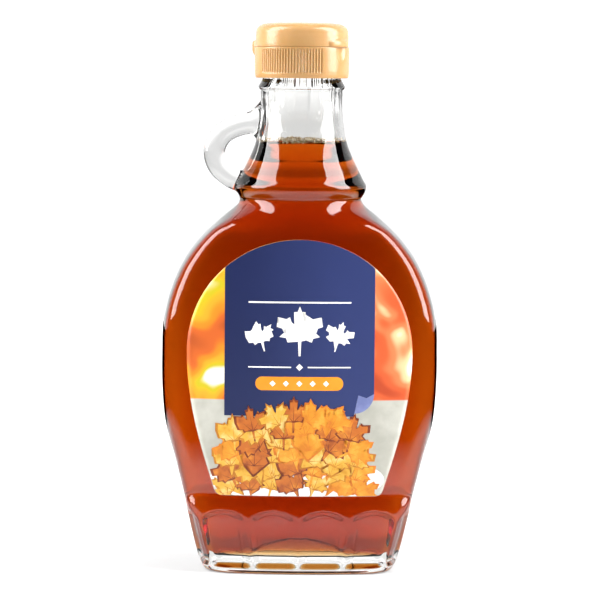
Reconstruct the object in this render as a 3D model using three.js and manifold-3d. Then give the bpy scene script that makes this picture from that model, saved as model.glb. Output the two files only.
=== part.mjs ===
// A maple syrup bottle: a clear glass jug with a small loop handle on its neck, filled
// with syrup, with a label on its front, and shut by a plastic flip-top cap.
//
// Millimetres, +Z up. The origin is the middle of the base, where the bottle stands.
// The front label faces -Y and the handle is on the -X side.

import * as THREE from 'three';
import { mergeVertices } from 'three/addons/utils/BufferGeometryUtils.js';
import Module from 'manifold-3d';

const { degToRad, lerp, smoothstep } = THREE.MathUtils;

// Glass, outside. Heights and half sizes along the bottle's three stretches
const GLASS_TOP = 164;
const FOOT_RIM_INNER = 27.2;
const FOOT_RIM_OUTER = 29.6;
const FOOT_CORNER_TOP = 1.6;
const PUNT_RISE = 1.2;
const PUNT_EDGE = 25.5;
const LEDGE_FOOT = 21.6;
const LEDGE_TOP = 24.8;
const CREASE_FOOT = 116.4;
const CREASE = 118.1;
const BODY_HALF_WIDTHS = [
  [0, 30.6], [FOOT_CORNER_TOP, 31.4], [19.4, 36.05], [35, 40], [46.6, 42.85], [58, 43.9],
  [69, 44], [79.5, 43.55], [89.3, 41.15], [98.9, 36.8], [106.5, 31.05], [112.5, 24.6],
  [CREASE_FOOT, 20], [CREASE, 19.3],
];
const BODY_HALF_DEPTHS = [
  [0, 20.6], [FOOT_CORNER_TOP, 21.2], [LEDGE_FOOT, 23.1], [LEDGE_TOP, 21.6], [26.5, 21.62],
  [38, 21.8], [60, 21.9], [100, 21.9], [108, 21.8], [112.5, 21.2],
  [CREASE_FOOT, 19.7], [CREASE, 19.3],
];
const BEAD_TOP = 124;
const NECK_FOOT = 143;
const NECK_MIDDLE = 147;
const RING_FOOT = 152.4;
const NECK_RADII = [
  [CREASE, 19.3], [120.1, 20.5], [122.1, 21], [BEAD_TOP, 20.2], [127.8, 17.9], [131.6, 16.15],
  [135.4, 14.75], [139.2, 13.95], [NECK_FOOT, 13.35], [NECK_MIDDLE, 13], [RING_FOOT, 13.1],
];
const RING_TIP_HEIGHT = 153.3;
const RING_TIP_RADIUS = 14;
const FINISH_FOOT = 156;
const FINISH_RADIUS = 12.5;

// The body's sections are flasks: bowed faces and sides that meet in small rims.
// They turn round towards the neck
const FACE_RADIUS = 150;
const SIDE_BOW = 1;
const RIM_RADIUS = 6.3;
const FOOT_RIM_RADIUS = 9.5;
const FOOT_RIM_ABOVE = 26;
const CAVITY_RIM_RADIUS = 8;
const FLASK_BELOW = 108;

// Flutes round the foot: four on each broad face and three on each narrow side
const FLUTES = 14;
const FRONT_FLUTES = 4;
const FRONT_FLUTE_SHARE = 0.0753;
const FLUTE_EDGE = 0.6;
const FLUTE_DEPTH = 0.9;
const FLUTE_FOOT = 2.2;
const FLUTE_TOP = 20.4;
const FLUTE_ARCH = 3.6;
const FLUTE_FADE = 2;

// Glass, inside
const WALL = 3;
const PANEL_HALF_DEPTH = 21.9;
const CAVITY_FLOOR = 5.8;
const CAVITY_CORNER_TOP = 7.2;
const CAVITY_HALF_WIDTHS = [
  [CAVITY_FLOOR, 26.6], [CAVITY_CORNER_TOP, 28.8], [11, 30.6], [19.4, 33], [35, 37], [46.6, 39.85],
  [58, 40.9], [69, 41], [79.5, 40.55], [89.3, 38.1], [98.9, 33.7], [106.5, 27.8],
  [112.5, 21.5], [117, 17.2], [123, 15.6], [129.7, 13.8], [135.4, 12.2], [141, 11.1],
];
const BORE = 10.9;
const BORE_FOOT = 141;

// Heights where the rows of the glass's mesh change their spacing
const FLUTES_FULL_FROM = 4.4;
const FLUTES_FULL_TO = 15;
const CAVITY_WALL_FOOT = 11;
const SHOULDER_FOOT = 84;
const SHOULDER_MIDDLE = 104;

// Loop handle, a flattened strap along a curve in the plane y = 0
const HANDLE_PATH = [
  [-11.5, 142], [-16, 141.9], [-20.2, 141.1], [-25.3, 138.3], [-27.7, 133.4],
  [-26.3, 128.2], [-22.6, 124.9], [-18.5, 122.8], [-15.5, 121.5],
];
const STRAP_HALF_THICKNESS = 3.5;
const STRAP_HALF_WIDTH = 3.25;
const STRAP_SIDES = 10;
const STRAP_STEPS = 18;
const FILLET_FLARE = 1.1;
const FILLET_START = -17.6;
const FILLET_END = -12.6;

// Contents
const SYRUP_TOP = 136.3;
const SYRUP_GAP = 0.3;

// Label, bent to the broad front face. Its head is a half circle, its sides taper below it
const LABEL_FOOT = 25.1;
const LABEL_HEAD_CENTRE = 70.6;
const LABEL_HEAD_RADIUS = 35.5;
const LABEL_FOOT_HALF_WIDTH = 26;
const LABEL_CORNER = 1.6;
const LABEL_GAP = 0.25;
const LABEL_THICKNESS = 0.4;
const LABEL_COLUMNS = 8;
const LABEL_HEAD_ROWS = 7;
const LABEL_LAST_ANGLE = degToRad(87);

// Cap base: a ribbed skirt, a deck and a pouring spout
const SKIRT_RADIUS = 15;
const SKIRT_FOOT = 156.3;
const SKIRT_TOP = 166.15;
const SKIRT_FOOT_RADIUS = 14.7;
const SKIRT_BORE = 12.9;
const DECK_UNDERSIDE = 164.3;
const DECK_TOP = 165.7;
const DECK_RADIUS = 13.2;
const SPOUT_TOP = 169.7;
const SPOUT_RADIUS = 4.9;
const ORIFICE_RADIUS = 3.6;
const RIB_PITCH = degToRad(3.6);
const RIB_FIRST = degToRad(30);
const RIBS_A_SIDE = 23;
const RIB_TIP = 15.05;
const RIB_ROOT = 14.72;
const RIB_FOOT = 157.9;
const RIB_TOP = 165.6;
const RIB_RING_BORE = 14;
const RIB_CORE = 14.62;
const RIB_OVERLAP = 0.1;
const RIB_RING_SEGMENTS = 12;
const SMOOTH_STEP = degToRad(6);
const SKIRT_CHAMFER = 0.1;
const SKIRT_CHAMFER_HEIGHT = 0.2;
const SKIRT_EDGE = 0.25;
const SPOUT_CHAMFER = 0.4;

// Lid
const LID_RADIUS = 14.75;
const LID_FOOT = 166.45;
const LID_TOP = 173.9;
const LID_INSIDE_RADIUS = 13.3;
const LID_CEILING = 172.4;
const SEAL_INNER = 5.8;
const SEAL_OUTER = 6.9;
const SEAL_FOOT = 168.4;
const LID_INSIDE_CORNER = 0.6;
const LID_ROUNDING = [
  [14.7, 170], [14.6, 171.3], [14.25, 172.1], [13.5, 172.8], [12.3, 173.4], [9, 173.8], [0, LID_TOP],
];
const HOLLOW_DEPTH = 5;
const HOLLOW_RIM = 3;

// Thumb tab and hinge lie opposite each other. Azimuths run from the front towards +X
const TAB_AZIMUTH = degToRad(55.7);
const HINGE_AZIMUTH = TAB_AZIMUTH + Math.PI;
const HINGE_WIDTH = 9;
const HINGE_REACH = 16.5;
const HINGE_ROOT = 13.9;
const TAB_CENTRE_RADIUS = 13.2;
const TAB_CENTRE_HEIGHT = 167;
const TAB_HALF_SIZE = [2.55, 5.6, 2.3];
const SCOOP_CENTRE_RADIUS = 17.3;
const SCOOP_CENTRE_HEIGHT = 165.4;
const SCOOP_HALF_SIZE = [2.9, 4.9, 6.6];
const BALL_SEGMENTS = 18;
const BALL_RINGS = 10;
const HINGE_BASE_OUTLINE = [
  [HINGE_ROOT, SKIRT_TOP], [HINGE_ROOT, 162.95], [15.2, 162.95], [16.2, 164.15],
  [HINGE_REACH, 165.15], [HINGE_REACH, SKIRT_TOP],
];
const HINGE_LID_OUTLINE = [
  [HINGE_ROOT, LID_FOOT], [HINGE_REACH, LID_FOOT], [HINGE_REACH, 167.15], [16.1, 167.85],
  [15, 168.35], [HINGE_ROOT, 168.35],
];

const OUTER_SEGMENTS = FLUTES * 4;
const INNER_SEGMENTS = 40;
const CAP_SEGMENTS = 40;
const MERGE_DISTANCE = 1e-4;
const EDGE_STEP = 1e-3;
const FULL_TURN = 2 * Math.PI;

const wasm = await Module();
wasm.setup();

// A closed geometry as a solid that can be joined and cut
function solid(geometry) {
  const bare = geometry.clone();
  bare.deleteAttribute('normal');
  bare.deleteAttribute('uv');
  const merged = mergeVertices(bare, MERGE_DISTANCE);
  const corners = merged.index.array;
  const kept = [];
  for (let i = 0; i < corners.length; i += 3) {
    const [a, b, c] = corners.slice(i, i + 3);
    if (a !== b && b !== c && c !== a) kept.push(a, b, c);
  }
  return new wasm.Manifold(new wasm.Mesh({
    numProp: 3,
    vertProperties: Float32Array.from(merged.attributes.position.array),
    triVerts: Uint32Array.from(kept),
  }));
}

function geometryOf(manifold) {
  const mesh = manifold.getMesh();
  const geometry = new THREE.BufferGeometry();
  geometry.setAttribute('position', new THREE.BufferAttribute(mesh.vertProperties, 3));
  geometry.setIndex(new THREE.BufferAttribute(mesh.triVerts, 1));
  geometry.computeVertexNormals();
  return geometry;
}

// A smooth function through [height, value] pairs
function through(pairs) {
  const heights = pairs.map(([height]) => height);
  const values = pairs.map(([, value]) => value);
  const curve = new THREE.CubicInterpolant(heights, values, 1);
  const first = heights[0];
  const last = heights.at(-1);
  return (z) => curve.evaluate(Math.min(Math.max(z, first), last))[0];
}

// Even steps between two heights, without the first
function steps(from, to, count) {
  return Array.from({ length: count }, (_, i) => lerp(from, to, (i + 1) / count));
}

const bodyWidth = through(BODY_HALF_WIDTHS);
const bodyDepth = through(BODY_HALF_DEPTHS);
const neckRadius = through(NECK_RADII);
const cavityWidth = through(CAVITY_HALF_WIDTHS);

// A section of the glass's outside at a height
function outside(z) {
  return {
    width: z < CREASE ? bodyWidth(z) : neckRadius(z),
    depth: z < CREASE ? bodyDepth(z) : neckRadius(z),
    rim: lerp(FOOT_RIM_RADIUS, RIM_RADIUS, smoothstep(z, 0, FOOT_RIM_ABOVE)),
    roundness: smoothstep(z, FLASK_BELOW, CREASE),
  };
}

// A section of its inside, a wall's thickness further in and less a gap
function inside(z, gap = 0) {
  const roundness = smoothstep(z, FLASK_BELOW, CREASE);
  const width = z < BORE_FOOT ? cavityWidth(z) : BORE;
  const behindLedge = Math.min(bodyDepth(z), PANEL_HALF_DEPTH) - WALL;
  const depth = lerp(Math.min(behindLedge, width), width, roundness);
  return { width: width - gap, depth: depth - gap, rim: CAVITY_RIM_RADIUS, roundness };
}

// A point of a flask's outline, a share of the way from the front round by +X
function flaskPoint({ width, depth, rim }, share) {
  const half = share > 0.5 ? 1 - share : share;
  const quarter = half > 0.25 ? 0.5 - half : half;
  const rimX = width - rim - SIDE_BOW;
  const faceAngle = Math.asin(rimX / (FACE_RADIUS - rim));
  const rimY = depth - FACE_RADIUS + (FACE_RADIUS - rim) * Math.cos(faceAngle);
  const sideX = ((width - rim) ** 2 - rimX ** 2 - rimY ** 2) / (2 * SIDE_BOW);
  const sideRadius = width - sideX;
  const sideAngle = Math.atan2(rimY, rimX - sideX);
  const rimAngle = Math.PI / 2 - faceAngle - sideAngle;
  const lengths = [FACE_RADIUS * faceAngle, rim * rimAngle, sideRadius * sideAngle];
  let way = 4 * quarter * (lengths[0] + lengths[1] + lengths[2]);
  let centre = [0, depth - FACE_RADIUS];
  let radius = FACE_RADIUS;
  let angle = way / FACE_RADIUS;
  if (way > lengths[0] + lengths[1]) {
    way -= lengths[0] + lengths[1];
    centre = [sideX, 0];
    radius = sideRadius;
    angle = Math.PI / 2 - sideAngle + way / sideRadius;
  } else if (way > lengths[0]) {
    way -= lengths[0];
    centre = [rimX, rimY];
    radius = rim;
    angle = faceAngle + way / rim;
  }
  const x = centre[0] + radius * Math.sin(angle);
  const y = centre[1] + radius * Math.cos(angle);
  return new THREE.Vector2(share > 0.5 ? -x : x, half > 0.25 ? y : -y);
}

function sectionPoint(section, share) {
  const angle = share * FULL_TURN;
  const { width, depth, roundness } = section;
  const round = new THREE.Vector2(width * Math.sin(angle), -depth * Math.cos(angle));
  return roundness === 1 ? round : round.lerp(flaskPoint(section, share), 1 - roundness);
}

// The share of a section's edge that a number of flutes takes, counted from the front
function shareOf(flutes) {
  const half = FLUTES / 2;
  const folded = flutes > half ? FLUTES - flutes : flutes;
  const quarter = folded > half / 2 ? half - folded : folded;
  const onFront = Math.min(quarter, FRONT_FLUTES / 2);
  const sideShare = (0.25 - FRONT_FLUTE_SHARE * FRONT_FLUTES / 2) / (half / 2 - FRONT_FLUTES / 2);
  let share = onFront * FRONT_FLUTE_SHARE + (quarter - onFront) * sideShare;
  if (folded > half / 2) share = 0.5 - share;
  return flutes > half ? 1 - share : share;
}

// How deep the flutes are cut at a height, for a place across one flute
function fluteDepth(flutes, z) {
  const across = Math.abs(2 * (flutes % 1) - 1);
  const sides = 1 - smoothstep(across, FLUTE_EDGE, 1);
  const head = 1 - smoothstep(z + FLUTE_ARCH * across ** 2, FLUTE_TOP - FLUTE_FADE, FLUTE_TOP);
  const foot = smoothstep(z, FLUTE_FOOT, FLUTE_FOOT + FLUTE_FADE);
  return FLUTE_DEPTH * sides * head * foot;
}

// A turned profile pressed into the bottle's sections, with the flutes where asked
function pressed(profile, segments, sectionAt, fluted = false) {
  const points = profile.map(([radius, height]) => new THREE.Vector2(radius, height));
  const geometry = new THREE.LatheGeometry(points, segments).rotateX(Math.PI / 2);
  const position = geometry.attributes.position;
  for (let i = 0; i < position.count; i += 1) {
    const [x, y, z] = [position.getX(i), position.getY(i), position.getZ(i)];
    const turn = Math.round((Math.atan2(x, -y) / FULL_TURN + 1) * segments) % segments;
    const flutes = turn * FLUTES / segments;
    const share = shareOf(flutes);
    const section = sectionAt(z);
    const place = sectionPoint(section, share);
    if (fluted && z < LEDGE_TOP) {
      const before = sectionPoint(section, (share + 1 - EDGE_STEP) % 1);
      const after = sectionPoint(section, (share + EDGE_STEP) % 1);
      const along = after.sub(before).normalize();
      place.addScaledVector(new THREE.Vector2(-along.y, along.x), fluteDepth(flutes, z));
    }
    place.multiplyScalar(Math.hypot(x, y) / section.width);
    position.setXY(i, place.x, place.y);
  }
  return geometry;
}

function glassOutside() {
  const foot = [
    ...steps(FOOT_CORNER_TOP, FLUTES_FULL_FROM, 2),
    ...steps(FLUTES_FULL_FROM, FLUTES_FULL_TO, 2),
    ...steps(FLUTES_FULL_TO, LEDGE_FOOT, 4),
  ];
  const panel = [
    LEDGE_TOP,
    ...steps(LEDGE_TOP, SHOULDER_FOOT, 7),
    ...steps(SHOULDER_FOOT, SHOULDER_MIDDLE, 4),
  ];
  const shoulder = [...steps(SHOULDER_MIDDLE, CREASE_FOOT, 6), CREASE];
  const bodyHeights = [FOOT_CORNER_TOP, ...foot, ...panel, ...shoulder];
  const neckHeights = [
    ...steps(CREASE, BEAD_TOP, 4),
    ...steps(BEAD_TOP, NECK_FOOT, 7),
    NECK_MIDDLE,
    RING_FOOT,
  ];
  const profile = [
    [0, PUNT_RISE],
    [PUNT_EDGE, PUNT_RISE],
    [FOOT_RIM_INNER, 0],
    [FOOT_RIM_OUTER, 0],
    ...bodyHeights.map((z) => [z < CREASE ? bodyWidth(z) : neckRadius(z), z]),
    ...neckHeights.map((z) => [neckRadius(z), z]),
    [RING_TIP_RADIUS, RING_TIP_HEIGHT],
    [FINISH_RADIUS, FINISH_FOOT],
    [FINISH_RADIUS, GLASS_TOP],
    [0, GLASS_TOP],
  ];
  return solid(pressed(profile, OUTER_SEGMENTS, outside, true));
}

// The inside, shrunk by a gap for what fills it, up to a height
function cavity(gap, top) {
  const heights = [
    CAVITY_CORNER_TOP,
    CAVITY_WALL_FOOT,
    ...steps(CAVITY_WALL_FOOT, SHOULDER_FOOT, 8),
    ...steps(SHOULDER_FOOT, SHOULDER_MIDDLE, 4),
    ...steps(SHOULDER_MIDDLE, CREASE, 4),
    ...steps(CREASE, SYRUP_TOP, 4),
  ];
  if (top > BORE_FOOT) heights.push(BORE_FOOT, top);
  const profile = [
    [0, CAVITY_FLOOR + gap],
    [cavityWidth(CAVITY_FLOOR) - gap, CAVITY_FLOOR + gap],
    ...heights.map((z) => [inside(z, gap).width, z]),
    [0, top],
  ];
  return solid(pressed(profile, INNER_SEGMENTS, (z) => inside(z, gap)));
}

// A cylinder bent along the handle's curve, wider where it meets the neck
function handle() {
  const path = new THREE.CatmullRomCurve3(HANDLE_PATH.map(([x, z]) => new THREE.Vector3(x, 0, z)));
  const geometry = new THREE.CylinderGeometry(1, 1, 1, STRAP_SIDES, STRAP_STEPS);
  const position = geometry.attributes.position;
  for (let i = 0; i < position.count; i += 1) {
    const along = position.getY(i) + 0.5;
    const centre = path.getPointAt(along);
    const heading = path.getTangentAt(along);
    const flare = 1 + FILLET_FLARE * smoothstep(centre.x, FILLET_START, FILLET_END) ** 2
      * (along < 0.5 ? 1 : 0);
    const outwards = position.getX(i) * STRAP_HALF_THICKNESS * flare;
    position.setXYZ(
      i,
      centre.x + heading.z * outwards,
      -position.getZ(i) * STRAP_HALF_WIDTH,
      centre.z - heading.x * outwards,
    );
  }
  return solid(geometry);
}

function bottle() {
  return glassOutside().add(handle()).subtract(cavity(0, GLASS_TOP + 1));
}

// Half the label's width at a height
function labelHalfWidth(z) {
  if (z >= LABEL_HEAD_CENTRE) {
    return Math.sqrt(Math.max(LABEL_HEAD_RADIUS ** 2 - (z - LABEL_HEAD_CENTRE) ** 2, 0));
  }
  const up = (z - LABEL_FOOT) / (LABEL_HEAD_CENTRE - LABEL_FOOT);
  const side = lerp(LABEL_FOOT_HALF_WIDTH, LABEL_HEAD_RADIUS, Math.sin(up * Math.PI / 2));
  const corner = LABEL_CORNER * Math.max(1 - (z - LABEL_FOOT) / LABEL_CORNER, 0);
  return side - corner;
}

// A thin slab bent to the broad front face
function label() {
  const rows = [
    LABEL_FOOT,
    LABEL_FOOT + LABEL_CORNER,
    ...steps(LABEL_FOOT + LABEL_CORNER, LABEL_HEAD_CENTRE, 4),
    ...steps(0, LABEL_LAST_ANGLE, LABEL_HEAD_ROWS).map(
      (angle) => LABEL_HEAD_CENTRE + LABEL_HEAD_RADIUS * Math.sin(angle),
    ),
  ];
  const geometry = new THREE.BoxGeometry(2, 1, rows.length - 1, LABEL_COLUMNS, 1, rows.length - 1);
  const position = geometry.attributes.position;
  for (let i = 0; i < position.count; i += 1) {
    const row = Math.round(position.getZ(i) + (rows.length - 1) / 2);
    const z = rows[row];
    const x = position.getX(i) * labelHalfWidth(z);
    const face = bodyDepth(z) - FACE_RADIUS + Math.sqrt(FACE_RADIUS ** 2 - x ** 2);
    const outer = position.getY(i) < 0;
    position.setXYZ(i, x, -(face + LABEL_GAP + (outer ? LABEL_THICKNESS : 0)), z);
  }
  return solid(geometry);
}

function turned(profile) {
  const points = profile.map(([radius, height]) => new THREE.Vector2(radius, height));
  return solid(new THREE.LatheGeometry(points, CAP_SEGMENTS).rotateX(Math.PI / 2));
}

// A ring with ribs on two sides of the thumb tab, between two heights
function ribbedRing() {
  const ribsEnd = RIB_FIRST + RIBS_A_SIDE * RIB_PITCH;
  const offsets = [];
  for (let a = 0; a < RIB_FIRST; a += SMOOTH_STEP) offsets.push([a, RIB_TIP]);
  for (let rib = 0; rib < RIBS_A_SIDE; rib += 1) {
    offsets.push([RIB_FIRST + rib * RIB_PITCH, RIB_TIP]);
    offsets.push([RIB_FIRST + (rib + 0.5) * RIB_PITCH, RIB_ROOT]);
  }
  for (let a = ribsEnd; a < Math.PI; a += SMOOTH_STEP) offsets.push([a, RIB_TIP]);
  const mirrored = offsets.slice(1).reverse().map(([a, radius]) => [FULL_TURN - a, radius]);
  const outline = [...offsets, ...mirrored].map(([a, radius]) => {
    const azimuth = TAB_AZIMUTH + a;
    return new THREE.Vector2(Math.sin(azimuth) * radius, -Math.cos(azimuth) * radius);
  });
  const shape = new THREE.Shape(outline);
  shape.holes.push(new THREE.Path().absarc(0, 0, RIB_RING_BORE, 0, FULL_TURN, true));
  const depth = RIB_TOP - RIB_FOOT;
  const options = { depth, bevelEnabled: false, curveSegments: RIB_RING_SEGMENTS };
  const geometry = new THREE.ExtrudeGeometry(shape, options);
  return solid(geometry.translate(0, 0, RIB_FOOT));
}

// Moves a geometry built round the axis, facing +X, to an azimuth of the cap
function atAzimuth(geometry, azimuth) {
  return geometry.rotateZ(azimuth - Math.PI / 2);
}

function ball(radius, height, [radial, across, upright], azimuth) {
  const geometry = new THREE.SphereGeometry(1, BALL_SEGMENTS, BALL_RINGS);
  geometry.scale(radial, across, upright).translate(radius, 0, height);
  return solid(atAzimuth(geometry, azimuth));
}

// One half of the hinge: a block whose outline is drawn in radius and height
function hingeHalf(outline) {
  const shape = new THREE.Shape(outline.map(([radius, height]) => new THREE.Vector2(radius, height)));
  const geometry = new THREE.ExtrudeGeometry(shape, { depth: HINGE_WIDTH, bevelEnabled: false });
  geometry.translate(0, 0, -HINGE_WIDTH / 2).rotateX(Math.PI / 2);
  return solid(atAzimuth(geometry, HINGE_AZIMUTH));
}

function capBase() {
  const skirt = turned([
    [ORIFICE_RADIUS, DECK_UNDERSIDE],
    [SKIRT_BORE, DECK_UNDERSIDE],
    [SKIRT_BORE, SKIRT_FOOT],
    [SKIRT_FOOT_RADIUS, SKIRT_FOOT],
    [SKIRT_RADIUS - SKIRT_CHAMFER, RIB_FOOT - SKIRT_CHAMFER_HEIGHT],
    [SKIRT_RADIUS, RIB_FOOT],
    [RIB_CORE, RIB_FOOT + RIB_OVERLAP],
    [RIB_CORE, RIB_TOP - RIB_OVERLAP],
    [SKIRT_RADIUS, RIB_TOP],
    [SKIRT_RADIUS - SKIRT_EDGE, SKIRT_TOP],
    [DECK_RADIUS, SKIRT_TOP],
    [DECK_RADIUS, DECK_TOP],
    [SPOUT_RADIUS, DECK_TOP],
    [SPOUT_RADIUS, SPOUT_TOP - SPOUT_CHAMFER],
    [SPOUT_RADIUS - SPOUT_CHAMFER, SPOUT_TOP],
    [ORIFICE_RADIUS, SPOUT_TOP],
    [ORIFICE_RADIUS, DECK_UNDERSIDE],
  ]);
  const hinge = hingeHalf(HINGE_BASE_OUTLINE);
  const scoop = ball(SCOOP_CENTRE_RADIUS, SCOOP_CENTRE_HEIGHT, SCOOP_HALF_SIZE, TAB_AZIMUTH);
  return skirt.add(ribbedRing()).add(hinge).subtract(scoop);
}

function capLid() {
  const shell = turned([
    [0, LID_CEILING],
    [SEAL_INNER, LID_CEILING],
    [SEAL_INNER, SEAL_FOOT],
    [SEAL_OUTER, SEAL_FOOT],
    [SEAL_OUTER, LID_CEILING],
    [LID_INSIDE_RADIUS - LID_INSIDE_CORNER, LID_CEILING],
    [LID_INSIDE_RADIUS, LID_CEILING - LID_INSIDE_CORNER],
    [LID_INSIDE_RADIUS, LID_FOOT],
    [LID_RADIUS, LID_FOOT],
    ...LID_ROUNDING,
  ]);
  const hinge = hingeHalf(HINGE_LID_OUTLINE);
  const tab = ball(TAB_CENTRE_RADIUS, TAB_CENTRE_HEIGHT, TAB_HALF_SIZE, TAB_AZIMUTH);
  const hollow = turned([
    [0, LID_FOOT - HOLLOW_DEPTH],
    [2 * LID_RADIUS, LID_FOOT - HOLLOW_DEPTH],
    [2 * LID_RADIUS, LID_FOOT],
    [LID_INSIDE_RADIUS, LID_FOOT],
    [LID_INSIDE_RADIUS, LID_CEILING - LID_INSIDE_CORNER],
    [LID_INSIDE_RADIUS - HOLLOW_RIM, LID_CEILING - LID_INSIDE_CORNER],
    [0, LID_FOOT],
  ]);
  return shell.add(hinge).add(tab.subtract(hollow));
}

const glass = new THREE.MeshStandardMaterial({
  color: 0xe9eeee, roughness: 0.05, metalness: 0, transparent: true, opacity: 0.35,
});
const syrup = new THREE.MeshStandardMaterial({
  color: 0xa43c00, roughness: 0.1, metalness: 0, transparent: true, opacity: 0.9,
});
const printedPaper = new THREE.MeshStandardMaterial({ color: 0x2b3770, roughness: 0.45, metalness: 0 });
const capPlastic = new THREE.MeshStandardMaterial({ color: 0xdfb174, roughness: 0.4, metalness: 0 });

const group = new THREE.Group();

function addPiece(name, shape, material) {
  const mesh = new THREE.Mesh(geometryOf(shape), material);
  mesh.name = name;
  group.add(mesh);
}

addPiece('bottle', bottle(), glass);
addPiece('syrup', cavity(SYRUP_GAP, SYRUP_TOP), syrup);
addPiece('label_front', label(), printedPaper);
addPiece('cap_base', capBase(), capPlastic);
addPiece('cap_lid', capLid(), capPlastic.clone());

export default group;
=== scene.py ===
# %% [markdown]
# A glass bottle of maple syrup, dressed for a product picture.
#
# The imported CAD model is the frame: it says where each part sits and how the lid turns.
# Here each plain solid gets a finer piece in its place: pressed glass, clear syrup, a film
# label and a moulded flip-top cap. The sizes are the ones that the CAD model was drawn
# from, but for a hair at the neck and a raised middle in the cavity's floor.

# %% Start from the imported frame
import math
import random
from bisect import bisect_right
from collections import namedtuple

import bmesh
import bpy
from mathutils import Matrix, Vector


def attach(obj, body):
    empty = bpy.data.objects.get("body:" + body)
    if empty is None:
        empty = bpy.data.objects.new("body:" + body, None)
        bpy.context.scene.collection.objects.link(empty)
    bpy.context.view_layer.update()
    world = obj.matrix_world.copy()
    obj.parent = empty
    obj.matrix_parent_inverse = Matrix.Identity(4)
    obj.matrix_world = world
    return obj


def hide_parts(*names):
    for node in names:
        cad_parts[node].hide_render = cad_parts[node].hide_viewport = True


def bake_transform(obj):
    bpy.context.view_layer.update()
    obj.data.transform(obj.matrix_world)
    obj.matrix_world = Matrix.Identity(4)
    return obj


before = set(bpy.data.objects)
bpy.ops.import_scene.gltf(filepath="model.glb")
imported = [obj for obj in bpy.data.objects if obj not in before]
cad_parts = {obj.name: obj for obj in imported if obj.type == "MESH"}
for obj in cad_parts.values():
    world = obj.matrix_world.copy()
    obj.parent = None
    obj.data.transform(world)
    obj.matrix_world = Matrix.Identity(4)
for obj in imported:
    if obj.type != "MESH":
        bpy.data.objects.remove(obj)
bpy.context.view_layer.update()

MM = 0.001
FULL_TURN = 2 * math.pi

# %% [markdown]
# The camera comes first, because every later choice is judged through it. The picture was
# taken with a long lens from just under a metre away, a little above the shoulder of the
# bottle and tipped down. A long lens keeps the sides of the glass nearly parallel. In
# Blender a focal length in pixels becomes millimetres through the width of the sensor.

# %% Camera
FRAME_PIXELS = 600
SENSOR_WIDTH = 36.0
FOCAL_PIXELS = 2900.0
CAMERA_DISTANCE = 926.0
CAMERA_HEIGHT = 163.6
CAMERA_PITCH = math.radians(4.83)
CAMERA_ROLL = math.radians(0.48)


def add_camera():
    data = bpy.data.cameras.new("camera")
    data.sensor_width = SENSOR_WIDTH
    data.lens = FOCAL_PIXELS / FRAME_PIXELS * SENSOR_WIDTH
    camera = bpy.data.objects.new("camera", data)
    place = Matrix.Translation((0, -CAMERA_DISTANCE * MM, CAMERA_HEIGHT * MM))
    look = Matrix.Rotation(math.pi / 2 - CAMERA_PITCH, 4, "X")
    camera.matrix_world = place @ look @ Matrix.Rotation(CAMERA_ROLL, 4, "Z")
    bpy.context.scene.collection.objects.link(camera)
    bpy.context.scene.camera = camera
    return camera


camera = add_camera()
print("lens", round(camera.data.lens, 1), "mm")

# %% [markdown]
# A few small helpers serve every material. Colours are picked as the hex values that a
# paint program shows, but light adds up in linear numbers, so one function turns one into
# the other. Another adds a node, sets its properties and fills or links its sockets.

# %% Helpers for materials


def linear(hex_colour):
    """An sRGB hex colour such as #a0b1c2 as linear red, green, blue and alpha."""
    channels = [int(hex_colour[i:i + 2], 16) / 255 for i in (1, 3, 5)]
    return [c / 12.92 if c <= 0.04045 else ((c + 0.055) / 1.055) ** 2.4 for c in channels] + [1.0]


def fill(tree, node, sockets):
    """Fills sockets with numbers or colours, or links them from a node or its output."""
    for name, value in sockets.items():
        if isinstance(value, bpy.types.Node):
            value = value.outputs[0]
        if isinstance(value, bpy.types.NodeSocket):
            tree.links.new(value, node.inputs[name])
        else:
            node.inputs[name].default_value = value


def add_node(tree, kind, sockets=None, **settings):
    """Adds a node of a kind, with its settings and its sockets."""
    node = tree.nodes.new(kind)
    for name, value in settings.items():
        setattr(node, name, value)
    fill(tree, node, sockets or {})
    return node


def new_material(name):
    """An empty material, its tree, its Principled shader and a point's place on the object."""
    material = bpy.data.materials.new(name)
    material.use_nodes = True
    tree = material.node_tree
    place = add_node(tree, "ShaderNodeTexCoord").outputs["Object"]
    return material, tree, tree.nodes["Principled BSDF"], place


def colour_steps(tree, factor, steps):
    """A colour ramp that eases through (place, hex colour) steps."""
    ramp = add_node(tree, "ShaderNodeValToRGB", {"Fac": factor})
    ramp.color_ramp.interpolation = "EASE"
    elements = ramp.color_ramp.elements
    while len(elements) < len(steps):
        elements.new(0.5)
    for element, (place, colour) in zip(elements, steps):
        element.position = place
        element.color = linear(colour)
    return ramp


print("mid grey is", round(linear("#808080")[0], 3), "in linear light")

# %% [markdown]
# The bottle stands on a white sweep, a floor that curves up into a wall so that no edge
# shows behind the glass. Clear glass has no colour of its own: it shows what is round it.
# So the sweep is bright: it glows, painted light, and glows less near the bottle, a painted shade round its
# foot. Two tall softboxes at the sides draw the long pale streaks, and the room towards the camera stays
# darker, which gives the glass its thin dark edges.

# %% Sweep, softboxes and room
SWEEP_FRONT = -2600.0
SWEEP_BACK = 1500.0
SWEEP_CURVE = 700.0
SWEEP_TOP = 2600.0
SWEEP_HALF_WIDTH = 3500.0
SWEEP_CURVE_STEPS = 24
# In metres from the bottle: the board glows, painted light as it is no lamp, more from GLOW_FROM to
# GLOW_TO, so that it is darker round the foot, a painted shade. Mirrors see it fade to painted dark from
# MIRRORED_PATCH to MIRRORED_FADE and show it again behind MIRRORED_BACK.
GLOW_FROM = 0.03
GLOW_TO = 0.17
GLOW_NEAR = 0.16
GLOW_FAR = 0.75
MIRRORED_PATCH = 0.2
MIRRORED_FADE = 0.32
MIRRORED_BACK = 1.0
# The share of the board that glass shows; the rest is painted dark.
BENT_SHARE = 0.74


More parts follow.
